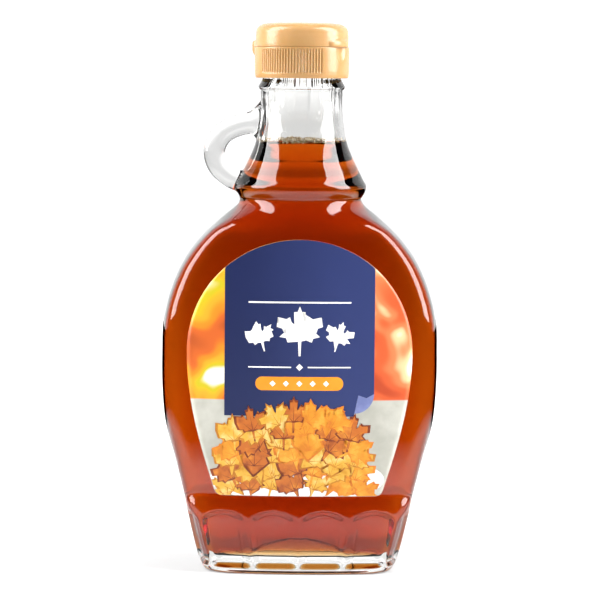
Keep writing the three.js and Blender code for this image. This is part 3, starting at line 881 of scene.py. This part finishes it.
def film_finish(tree, film, place, colour):
    """Varnished film: satin, with a bump a few hundredths of a millimetre deep from the press."""
    press_marks = add_node(tree, "ShaderNodeTexNoise", {"Vector": place, "Scale": 900.0, "Detail": 2.0})
    bump = add_node(tree, "ShaderNodeBump", {"Height": press_marks, "Strength": 0.05, "Distance": 0.0002})
    fill(tree, film, {"Base Color": colour, "Normal": bump, "Roughness": 0.34, "IOR": 1.49})


def label_film():
    """The film's ground print: blurred autumn leaves above a pale grey table top."""
    material, tree, film, place = new_material("printed_label_film")
    parts = add_node(tree, "ShaderNodeSeparateXYZ", {"Vector": place}).outputs
    leaves = add_node(tree, "ShaderNodeTexNoise", {
        "Vector": place, "Scale": 62.0, "Detail": 1.2, "Roughness": 0.45, "Distortion": 0.6})
    rightwards = add_node(tree, "ShaderNodeMapRange", {
        "Value": parts["X"], "From Min": RED_FROM * MM, "From Max": RED_TO * MM})
    blur = add_node(tree, "ShaderNodeMix", {
        "Factor": rightwards, 6: colour_steps(tree, leaves, AUTUMN_BLUR),
        7: colour_steps(tree, leaves, RED_BLUR)}, data_type="RGBA")
    clouds = add_node(tree, "ShaderNodeTexNoise", {"Vector": place, "Scale": 110.0, "Detail": 5.0})
    table = colour_steps(tree, clouds, [(0.3, "#aaa99e"), (0.7, "#c3c2b8")])
    above = add_node(tree, "ShaderNodeMapRange", {
        "Value": parts["Z"], "From Min": (TABLE_LINE - TABLE_BLUR) * MM,
        "From Max": (TABLE_LINE + TABLE_BLUR) * MM})
    ground = add_node(tree, "ShaderNodeMix", {"Factor": above, 6: table, 7: blur.outputs[2]},
                      data_type="RGBA")
    film_finish(tree, film, place, ground.outputs[2])
    return material


add_piece("label_film", label_sheet(), label_film(), "bottle_body", "label_front")

# %% [markdown]
# The print on the film is laid down ink by ink. Each ink is a set of flat outlines, drawn
# as on paper in millimetres, cut into narrow strips so that they follow the curve of the
# glass, and given a few hundredths of a millimetre of thickness. Later inks lie on top of
# earlier ones, as in a press. Crisp edges come from the mesh, soft shading from the ink.

# %% Laying down ink
INK_STEP = 0.025
INK_SUNK = 0.02
PRINT_STRIP = 3.0
SHARP_ANGLE = math.radians(30)


def cut_in_strips(shape):
    """Cuts a flat shape along x and z, so that it can bend with the glass."""
    for axis in (0, 2):
        places = [vert.co[axis] for vert in shape.verts]
        for place in heights(min(places), max(places), PRINT_STRIP)[1:-1]:
            point, normal = Vector(), Vector()
            point[axis], normal[axis] = place, 1
            bmesh.ops.bisect_plane(shape, geom=shape.verts[:] + shape.edges[:] + shape.faces[:],
                                   plane_co=point, plane_no=normal, dist=MERGE_DISTANCE)


def append_shape(mesh, shape):
    """Adds one bmesh to another and frees it."""
    scrap = bpy.data.meshes.new("scrap")
    shape.to_mesh(scrap)
    shape.free()
    mesh.from_mesh(scrap)
    bpy.data.meshes.remove(scrap)


def add_print(name, shapes, material):
    """A piece of one ink. Each shape is an outline of (x, z) points and the layer it lies in."""
    printed = bmesh.new()
    for outline, layer in shapes:
        shape = bmesh.new()
        face = shape.faces.new([shape.verts.new((x, 0, z)) for x, z in outline])
        bmesh.ops.triangulate(shape, faces=[face])
        cut_in_strips(shape)
        for vert in shape.verts:
            vert.co.y = -face_at(vert.co.x, vert.co.z) - LABEL_PROUD - layer * INK_STEP
        grown = bmesh.ops.extrude_face_region(shape, geom=shape.faces[:])["geom"]
        for item in grown:
            if isinstance(item, bmesh.types.BMVert):
                item.co.y += layer * INK_STEP + INK_SUNK
        bmesh.ops.recalc_face_normals(shape, faces=shape.faces)
        append_shape(printed, shape)
    piece = add_piece(name, printed, material, "bottle_body", "label_front")
    piece.data.set_sharp_from_angle(angle=SHARP_ANGLE)


def ink(name, stops, scale):
    """An ink whose colour drifts softly between a few hex colours."""
    material, tree, film, place = new_material(name)
    drift = add_node(tree, "ShaderNodeTexNoise", {
        "Vector": place, "Scale": scale, "Detail": 4.0, "Roughness": 0.55})
    film_finish(tree, film, place, colour_steps(tree, drift, stops))
    return material


def ellipse(cx, cz, half_width, half_height, start=0.0, end=360.0, points=64):
    """A whole ellipse, or the part of it from one angle in degrees to another."""
    turns = [math.radians(lerp(start, end, i / points)) for i in range(points + (end - start < 360))]
    return [(cx + half_width * math.cos(a), cz + half_height * math.sin(a)) for a in turns]


def bar(left, right, foot, top, corner=0.0):
    """A rectangle, or one with rounded ends."""
    if corner == 0:
        return [(left, foot), (right, foot), (right, top), (left, top)]
    out = []
    for cx, cz, start in ((right, foot, -90), (right, top, 0), (left, top, 90), (left, foot, 180)):
        cx += -corner if cx == right else corner
        cz += -corner if cz == top else corner
        out += ellipse(cx, cz, corner, corner, start, start + 90, 8)
    return out


print("ink step", INK_STEP, "mm")

# %% [markdown]
# A deep blue panel runs down the middle of the label, with one lower corner curled up like
# a page. In place of the words and the maker's sign it carries a plain design of its own:
# three maple leaves, two thin rules and an orange bar with a row of small diamonds.

# %% Blue panel, leaves, rules and bar
PANEL_HALF_WIDTH = 23.55
PANEL_FOOT = 50.5
PANEL_STEP = 1.0
PANEL_INSET = 0.05
CURL_WIDTH = 6.2
CURL_LEFT = PANEL_HALF_WIDTH - CURL_WIDTH
CURL_TOP = 57.6
CURL_FOOT = 51.4
CURL_INSIDE = [(0.62, 1.3), (0.2, 0.4)]
LEAF_HALF_OUTLINE = [
    (0, 1.0), (0.08, 0.80), (0.21, 0.79), (0.17, 0.62), (0.16, 0.40), (0.20, 0.34), (0.30, 0.42),
    (0.36, 0.60), (0.48, 0.53), (0.80, 0.60), (0.70, 0.40), (0.84, 0.25), (0.60, 0.17),
    (0.40, 0.05), (0.60, 0.01), (0.74, -0.12), (0.50, -0.16), (0.44, -0.32), (0.24, -0.24),
    (0.06, -0.28), (0.035, -0.82),
]
BAR_HALF_WIDTH = 13.8
BAR_FOOT = 58.7
BAR_TOP = 63.0
BAR_ENDS = 2.1
BAR_DIAMONDS = (-8.4, -4.2, 0, 4.2, 8.4)
BAR_DIAMOND_SIZE = 0.95
PANEL_LAYER = 1
MARK_LAYER = 2
BAR_DIAMOND_LAYER = 3


def blue_ink():
    """Deep blue, lighter towards the right by a painted sheen of the light from that side."""
    material, tree, film, place = new_material("blue_ink")
    # Painted sheen: the ink grows lighter from left to right, standing in for the light of the right
    # softbox.
    rightwards = add_node(tree, "ShaderNodeSeparateXYZ", {"Vector": place}).outputs["X"]
    across = add_node(tree, "ShaderNodeMapRange", {
        "Value": rightwards, "From Min": -PANEL_HALF_WIDTH * MM, "From Max": PANEL_HALF_WIDTH * MM})
    cloud = add_node(tree, "ShaderNodeTexNoise", {"Vector": place, "Scale": 60.0, "Detail": 3.0})
    cloud_and_painted_sheen = add_node(tree, "ShaderNodeMath", {0: cloud, 1: 0.25, 2: across}, operation="MULTIPLY_ADD")
    film_finish(tree, film, place, colour_steps(tree, cloud_and_painted_sheen, [(0.12, "#182350"), (1.1, "#2b376b")]))
    return material


def curled_edge():
    """The round edge of the corner that is curled away."""
    return ellipse(CURL_LEFT, CURL_TOP, CURL_WIDTH, CURL_TOP - CURL_FOOT, -90, 0, 12)


def panel_outline():
    """The panel's head is the label's own edge, and its lower right corner is curled away."""
    top = []
    for x in heights(PANEL_HALF_WIDTH, -PANEL_HALF_WIDTH, PANEL_STEP):
        head = math.sqrt(LABEL_HEAD_RADIUS ** 2 - x ** 2)
        top.append((x, LABEL_HEAD_CENTRE + head - PANEL_INSET))
    return [(-PANEL_HALF_WIDTH, PANEL_FOOT), (CURL_LEFT, PANEL_FOOT)] + curled_edge() + top


def curl_outline():
    """The turned corner of the page: a quarter leaf shape, lighter than the panel."""
    return curled_edge() + [(CURL_LEFT + CURL_WIDTH * share, CURL_TOP - drop)
                            for share, drop in CURL_INSIDE]


def leaf(cx, cz, size, tilt):
    """A maple leaf: half an outline, mirrored, turned and set in place."""
    whole = LEAF_HALF_OUTLINE + [(-x, z) for x, z in reversed(LEAF_HALF_OUTLINE[1:])]
    turn = Matrix.Rotation(math.radians(tilt), 2)
    return [tuple(Vector((cx, cz)) + turn @ (Vector(point) * size)) for point in whole]


def diamond(cx, cz, size):
    return [(cx + size, cz), (cx, cz + size), (cx - size, cz), (cx, cz - size)]


marks = [
    bar(-16.1, 16.1, 86.15, 86.65),
    leaf(0, 76.6, 8.6, 0),
    leaf(-12.2, 75.2, 5.4, 16),
    leaf(12.2, 75.2, 5.4, -16),
    bar(-16.1, -2.6, 65.8, 66.2),
    bar(2.6, 16.1, 65.8, 66.2),
    diamond(0, 66, 1.1),
]
cream = [(mark, MARK_LAYER) for mark in marks]
cream += [(diamond(x, (BAR_FOOT + BAR_TOP) / 2, BAR_DIAMOND_SIZE), BAR_DIAMOND_LAYER) for x in BAR_DIAMONDS]
orange = bar(-BAR_HALF_WIDTH, BAR_HALF_WIDTH, BAR_FOOT, BAR_TOP, BAR_ENDS)
add_print("print_blue_panel", [(panel_outline(), PANEL_LAYER)], blue_ink())
add_print("print_page_curl", [(curl_outline(), MARK_LAYER)],
          ink("pale_blue_ink", [(0.3, "#6a74a6"), (0.7, "#8088b8")], 300.0))
add_print("print_orange_bar", [(orange, MARK_LAYER)],
          ink("orange_ink", [(0.3, "#ee8f12"), (0.7, "#f39a20")], 150.0))
add_print("print_cream_marks", cream, ink("cream_ink", [(0.3, "#f6f4ee"), (0.7, "#ffffff")], 300.0))

# %% [markdown]
# In the place of the pictured food lies a heap of fallen maple leaves on a white dish, in
# the same golds and browns. The heap is laid from the bottom row upwards. Each leaf is two
# flat shapes, a darker rim and a lighter blade on it, with veins that run from its stalk.
# A seeded draw turns and tints the leaves, so that they are the same in every run.

# %% Heap of leaves and dish
HEAP_SEED = 11
HEAP_CENTRE = -1.6
HEAP_ROWS = [
    (29.2, 20.5, 7, 6.6), (33.4, 20.0, 7, 6.7), (37.6, 19.6, 7, 6.7), (41.8, 19.2, 6, 6.9),
    (46.0, 18.4, 6, 6.9), (50.0, 12.5, 5, 6.4),
]
HEAP_SAG = 1.8
HEAP_INSET = 0.1
LEAF_SHIFT = 0.8
LEAF_LIFT = 0.7
LEAF_LEAN = 38
LEAF_TURN = 34
BLADE_SHARE = 0.86
VEIN_ANGLES = (0, 42, -42, 82, -82)
VEIN_REACH = (0.86, 0.66, 0.66, 0.58, 0.58)
VEIN_START = (0, -0.3)
VEIN_HALF_WIDTH = 0.13
DISH_LAYER = 1.5
HEAP_LAYER = 3.0
ROW_LAYERS = 1.3
SECOND_LEAF_LAYERS = 0.5
BLADE_LAYERS = 0.2
VEIN_LAYERS = 0.35
DISH = (-0.5, 30.4, 27.5, 7.6)
# The rim's colours, then the blade's.
LEAF_KINDS = {
    "amber": ([(0.3, "#c9690f"), (0.7, "#e08a1e")],
              [(0.3, "#cf7a0d"), (0.5, "#de901d"), (0.7, "#e8a737")]),
    "russet": ([(0.3, "#6e2b0e"), (0.7, "#8c3c12")],
               [(0.3, "#a04d17"), (0.5, "#bf661b"), (0.7, "#d58427")]),
    "gold": ([(0.3, "#b06a12"), (0.7, "#cc8719")],
             [(0.3, "#cd901c"), (0.5, "#e0aa3a"), (0.7, "#eec878")]),
}


def clipped(outline):
    """Keeps an outline inside the label's edge."""
    out = []
    for x, z in outline:
        z = max(z, LABEL_FOOT + HEAP_INSET)
        limit = label_half_width(z) - HEAP_INSET
        out.append((min(max(x, -limit), limit), z))
    return out


def veins(cx, cz, size, tilt):
    """Thin wedges from the foot of the blade towards its points."""
    foot = Vector(VEIN_START)
    turn = Matrix.Rotation(math.radians(tilt), 2)
    out = []
    for angle, reach in zip(VEIN_ANGLES, VEIN_REACH):
        tip = foot + Vector((math.sin(math.radians(angle)), math.cos(math.radians(angle)))) * reach
        side = (tip - foot).normalized().orthogonal() * VEIN_HALF_WIDTH / size
        out.append([tuple(Vector((cx, cz)) + turn @ (point * size))
                    for point in (foot + side, foot - side, tip)])
    return out


def build_heap():
    """Rows of leaves, each row over the one below it."""
    draw = random.Random(HEAP_SEED)
    rims = {kind: [] for kind in LEAF_KINDS}
    blades = {kind: [] for kind in LEAF_KINDS}
    for row, (level, half_width, count, size) in enumerate(HEAP_ROWS):
        for i in range(count):
            along = lerp(-1, 1, i / (count - 1))
            cx = HEAP_CENTRE + along * half_width + draw.uniform(-LEAF_SHIFT, LEAF_SHIFT)
            cz = level - HEAP_SAG * along ** 2 + draw.uniform(-LEAF_LIFT, LEAF_LIFT)
            tilt = -LEAF_LEAN * along + draw.uniform(-LEAF_TURN, LEAF_TURN)
            kind = draw.choice(sorted(LEAF_KINDS))
            layer = HEAP_LAYER + ROW_LAYERS * row + SECOND_LEAF_LAYERS * (i % 2)
            blade = leaf(cx, cz, size * BLADE_SHARE, tilt)
            rims[kind].append((clipped(leaf(cx, cz, size, tilt)), layer))
            blades[kind].append((clipped(blade), layer + BLADE_LAYERS))
            rims[kind] += [(clipped(vein), layer + VEIN_LAYERS) for vein in veins(cx, cz, size, tilt)]
    for kind, (rim_stops, blade_stops) in LEAF_KINDS.items():
        add_print("print_" + kind + "_leaf_rims", rims[kind], ink(kind + "_rim_ink", rim_stops, 300.0))
        add_print("print_" + kind + "_leaf_blades", blades[kind],
                  ink(kind + "_leaf_ink", blade_stops, 260.0))


add_print("print_dish", [(clipped(ellipse(*DISH)), DISH_LAYER)],
          ink("dish_ink", [(0.3, "#ecebe7"), (0.7, "#f9f9f8")], 60.0))
build_heap()

# %% [markdown]
# Pouring leaves a line of froth where the syrup meets the glass: small bubbles of air in
# thin skins of syrup, crowded against the wall. Each one is a little ball of few faces,
# and their places come from a seeded draw, so that they are the same in every run.

# %% Froth at the syrup's level
FROTH_SEED = 7
FROTH_BUBBLES = 1000
FROTH_WIDTH = 2.2
FROTH_HEIGHT = 1.5
FROTH_BELOW = 0.9
BUBBLE_SMALLEST = 0.22
BUBBLE_LARGEST = 0.6
BUBBLE_AFLOAT = 0.4


def froth_skin():
    """Bubbles in syrup: pale beige, glossy, half clear."""
    material, tree, skin, place = new_material("syrup_froth")
    speck = add_node(tree, "ShaderNodeTexNoise", {"Vector": place, "Scale": 1500.0, "Detail": 1.0})
    fill(tree, skin, {"Base Color": colour_steps(tree, speck, [(0.35, "#b99c6b"), (0.65, "#efe2c8")]),
                      "Roughness": 0.12, "IOR": 1.33, "Transmission Weight": 0.2})
    return material


def build_froth():
    """Balls crowded against the wall, thinning out to one flat layer away from it."""
    draw = random.Random(FROTH_SEED)
    mesh = bmesh.new()
    ball = bmesh.new()
    bmesh.ops.create_icosphere(ball, subdivisions=2, radius=1)
    for _ in range(FROTH_BUBBLES):
        size = lerp(BUBBLE_SMALLEST, BUBBLE_LARGEST, draw.random() ** 2)
        turn = draw.random() * FULL_TURN
        inwards = draw.random() ** 2 * FROTH_WIDTH
        reach = cavity_width(SYRUP_TOP) - size - inwards
        spread = (draw.random() * FROTH_HEIGHT - FROTH_BELOW) * (1 - inwards / FROTH_WIDTH)
        lift = SYRUP_TOP + size * BUBBLE_AFLOAT + spread
        spot = Matrix.Translation((math.sin(turn) * reach, -math.cos(turn) * reach, lift))
        bubble = ball.copy()
        bubble.transform(spot @ Matrix.Scale(size, 4))
        append_shape(mesh, bubble)
    ball.free()
    add_piece("froth", mesh, froth_skin(), "bottle_body", "syrup")


build_froth()

# %% [markdown]
# The cap is moulded polypropylene in two halves joined by a thin web. Each half is spun
# from its own profile. The fine ribs, the scoop under the thumb tab, the tab itself and
# the hinge block all stand out from or sink into the round wall, so they are pressed into
# the spun wall by moving its points in or out along the radius.

# %% Sizes of the cap
TAB_AZIMUTH = math.radians(55.7)
HINGE_AZIMUTH = TAB_AZIMUTH + math.pi
SKIRT_RADIUS = 15.0
SKIRT_FOOT = 156.3
SKIRT_TOP = 166.15
SKIRT_BORE = 12.9
SKIRT_EDGE = (14.75, 157.4)
SKIRT_WALL_FROM = 14.3
SKIRT_WALL_TOP = 165.7
CAP_ROUNDING = 0.25
DECK_UNDERSIDE = 164.3
DECK_TOP = 165.7
DECK_RADIUS = 13.2
SPOUT_TOP = 169.7
SPOUT_RADIUS = 4.9
ORIFICE_RADIUS = 3.6
ORIFICE_MIDDLE = 167
RIB_PITCH = math.radians(3.6)
RIB_FIRST = math.radians(30)
RIBS_A_SIDE = 23
RIB_TIP = 15.05
RIB_ROOT = 14.72
RIB_FOOT = 157.9
RIB_TOP = 165.6
RIB_FADE = 0.35
LID_RADIUS = 14.75
LID_FOOT = 166.2
LID_WALL_FROM = 13.6
LID_WALL_FOOT = 167.5
LID_WALL_TOP = 169.6
LID_RIM = 170
LID_TOP = 173.9
LID_INSIDE_RADIUS = 13.3
LID_CEILING = 172.4
LID_ROUNDING = 0.2
DOME_ROUNDING = 0.9
SEAL_INNER = 5.8
SEAL_OUTER = 6.9
SEAL_FOOT = 168.4
TAB_CENTRE = (13.2, 167.0)
TAB_HALF_SIZE = (2.55, 5.6, 2.3)
SCOOP_CENTRE = (17.3, 165.4)
SCOOP_HALF_SIZE = (2.9, 4.9, 6.6)
HINGE_HALF_WIDTH = 4.5
HINGE_SIDE = 0.35
BASE_HINGE = through([(162.4, 15.0), (162.95, 15.25), (164.15, 16.2), (165.15, 16.5), (SKIRT_TOP, 16.5)])
LID_HINGE = through([(LID_FOOT, 16.5), (167.15, 16.5), (167.85, 16.1), (168.35, 15.0), (168.9, 14.7)])
CAP_SEGMENTS = 600
WALL_STEP = 0.3


def radial(azimuth):
    """The direction away from the axis at an azimuth, counted from the front towards +X."""
    return Vector((math.sin(azimuth), -math.cos(azimuth)))


def local(vert, azimuth):
    """A point's place away from the axis and across, as seen from an azimuth."""
    away = radial(azimuth)
    return vert.co.x * away.x + vert.co.y * away.y, -vert.co.x * away.y + vert.co.y * away.x


def set_local(vert, azimuth, out, across):
    """Moves a point to a place away from the axis and across, as seen from an azimuth."""
    away = radial(azimuth)
    vert.co.x = away.x * out - away.y * across
    vert.co.y = away.y * out + away.x * across


def bulge(half_size, across, up):
    """The height of a ball's surface over its middle plane, or None beside the ball."""
    left = 1 - (across / half_size[1]) ** 2 - (up / half_size[2]) ** 2
    return half_size[0] * math.sqrt(left) if left > 0 else None


def raise_hinge(vert, reach_at):
    """Pulls the wall out to the hinge block's profile, in its width."""
    out, across = local(vert, HINGE_AZIMUTH)
    if out > 0 and abs(across) < HINGE_HALF_WIDTH:
        share = smoothstep(HINGE_HALF_WIDTH - abs(across), 0, HINGE_SIDE)
        reach = lerp(out, reach_at(vert.co.z), share)
        set_local(vert, HINGE_AZIMUTH, max(out, reach), across)


print("cap", 2 * SKIRT_RADIUS, "mm across")

# %% [markdown]
# Polypropylene is a slightly waxy plastic: satin, a little translucent, with an index of
# refraction of 1.49. The tan colour is in the plastic. Moulding leaves a fine orange-peel
# grain of about 0.3 mm, which breaks up the highlights.

# %% Tan polypropylene and the cap's base


def tan_polypropylene():
    material, tree, plastic, place = new_material("tan_polypropylene")
    peel = add_node(tree, "ShaderNodeTexNoise", {"Vector": place, "Scale": 3000.0, "Detail": 2.0})
    flow = add_node(tree, "ShaderNodeTexNoise", {"Vector": place, "Scale": 90.0, "Detail": 3.0})
    grain = add_node(tree, "ShaderNodeBump", {"Height": peel, "Strength": 0.12, "Distance": 0.0002})
    fill(tree, plastic, {
        "Base Color": colour_steps(tree, flow, [(0.25, "#ae8552"), (0.75, "#b99162")]),
        "Normal": grain, "Roughness": 0.21, "IOR": 1.49, "Subsurface Weight": 0.15,
        "Subsurface Scale": 0.002})
    return material


cap_material = tan_polypropylene()


def rib_radius(vert):
    """The ribbed wall: tips and roots each side of the tab, plain elsewhere."""
    offset = (math.atan2(vert.co.x, -vert.co.y) - TAB_AZIMUTH) % FULL_TURN
    offset = min(offset, FULL_TURN - offset)
    if not RIB_FIRST <= offset <= RIB_FIRST + RIBS_A_SIDE * RIB_PITCH:
        return RIB_TIP
    wave = 0.5 + 0.5 * math.cos((offset - RIB_FIRST) / RIB_PITCH * FULL_TURN)
    return lerp(RIB_ROOT, RIB_TIP, wave)


def rib_share(z):
    """1 along the ribs, fading to 0 at their ends."""
    return smoothstep(z, RIB_FOOT, RIB_FOOT + RIB_FADE) * (1 - smoothstep(z, RIB_TOP - RIB_FADE, RIB_TOP))


def build_cap_base():
    edge_radius, wall_foot = SKIRT_EDGE
    inner = rounded([(ORIFICE_RADIUS, ORIFICE_MIDDLE), (ORIFICE_RADIUS, DECK_UNDERSIDE),
                     (SKIRT_BORE, DECK_UNDERSIDE), (SKIRT_BORE, SKIRT_FOOT), (edge_radius, SKIRT_FOOT),
                     (SKIRT_RADIUS, wall_foot)], CAP_ROUNDING)
    wall = fine([(SKIRT_RADIUS, wall_foot), (SKIRT_RADIUS, SKIRT_WALL_TOP)], WALL_STEP)
    over = rounded([(SKIRT_RADIUS, SKIRT_WALL_TOP), (SKIRT_RADIUS, SKIRT_TOP), (DECK_RADIUS, SKIRT_TOP),
                    (DECK_RADIUS, DECK_TOP), (SPOUT_RADIUS, DECK_TOP), (SPOUT_RADIUS, SPOUT_TOP),
                    (ORIFICE_RADIUS, SPOUT_TOP), (ORIFICE_RADIUS, ORIFICE_MIDDLE)], CAP_ROUNDING)
    mesh = spun(inner[:-1] + wall + over[1:], CAP_SEGMENTS)
    for vert in mesh.verts:
        out = math.hypot(vert.co.x, vert.co.y)
        if out < SKIRT_WALL_FROM:
            continue
        z = vert.co.z
        ribs = rib_share(z)
        if ribs > 0:
            vert.co.xy *= lerp(out, rib_radius(vert), ribs) / out
        raise_hinge(vert, BASE_HINGE)
        out, across = local(vert, TAB_AZIMUTH)
        dip = bulge(SCOOP_HALF_SIZE, across, z - SCOOP_CENTRE[1])
        if out > 0 and dip is not None:
            set_local(vert, TAB_AZIMUTH, min(out, SCOOP_CENTRE[0] - dip), across)
    add_piece("cap_skirt", mesh, cap_material, "bottle_body", "cap_base")


build_cap_base()

# %% [markdown]
# The lid is a shallow cup with a plug inside that shuts the spout. Its top edge is softly
# rounded and its top very slightly domed, so that it never shows a flat white glare.

# %% The lid and the hinge web
LID_OUTLINE = [
    (14.7, LID_RIM), (14.6, 171.3), (14.25, 172.1), (13.5, 172.8), (12.3, 173.4), (9, 173.8),
    (0, LID_TOP),
]


def build_lid():
    inner = rounded([(0, LID_CEILING), (SEAL_INNER, LID_CEILING), (SEAL_INNER, SEAL_FOOT),
                     (SEAL_OUTER, SEAL_FOOT), (SEAL_OUTER, LID_CEILING),
                     (LID_INSIDE_RADIUS, LID_CEILING), (LID_INSIDE_RADIUS, LID_FOOT),
                     (LID_RADIUS, LID_FOOT), (LID_RADIUS, LID_WALL_FOOT)], LID_ROUNDING)
    wall = fine([(LID_RADIUS, LID_WALL_FOOT), (LID_RADIUS, LID_WALL_TOP)], WALL_STEP)
    dome = rounded(LID_OUTLINE, DOME_ROUNDING, steps=6)
    mesh = spun(inner[:-1] + wall + dome, CAP_SEGMENTS)
    for vert in mesh.verts:
        out = math.hypot(vert.co.x, vert.co.y)
        if out < LID_WALL_FROM or vert.co.z > LID_RIM:
            continue
        raise_hinge(vert, LID_HINGE)
        out, across = local(vert, TAB_AZIMUTH)
        rise = bulge(TAB_HALF_SIZE, across, vert.co.z - TAB_CENTRE[1])
        if out > 0 and rise is not None:
            set_local(vert, TAB_AZIMUTH, max(out, TAB_CENTRE[0] + rise), across)
    add_piece("cap_flip_lid", mesh, cap_material, "lid", "cap_lid")


build_lid()

WEB_RADIUS = 16.35
WEB_HALF_WIDTH = 3.6
WEB_THICKNESS = 0.35
WEB_FOOT = 165.3
WEB_TOP = 167.3
WEB_STEPS = 20


def build_hinge_web():
    """A thin strip of the same plastic across the gap."""
    mesh = bmesh.new()
    bmesh.ops.create_cube(mesh, size=1)
    upright = [e for e in mesh.edges if abs(e.verts[0].co.z - e.verts[1].co.z) > 0.5]
    bmesh.ops.subdivide_edges(mesh, edges=upright, cuts=WEB_STEPS)
    for vert in mesh.verts:
        z = lerp(WEB_FOOT, WEB_TOP, vert.co.z + 0.5)
        out = WEB_RADIUS + vert.co.x * WEB_THICKNESS
        set_local(vert, HINGE_AZIMUTH, out, vert.co.y * 2 * WEB_HALF_WIDTH)
        vert.co.z = z
    bmesh.ops.recalc_face_normals(mesh, faces=mesh.faces)
    bmesh.ops.scale(mesh, vec=(MM, MM, MM), verts=mesh.verts)
    web = mesh_object("hinge_web", mesh, cap_material)
    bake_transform(web)
    print("web", WEB_THICKNESS, "mm thick")


build_hinge_web()
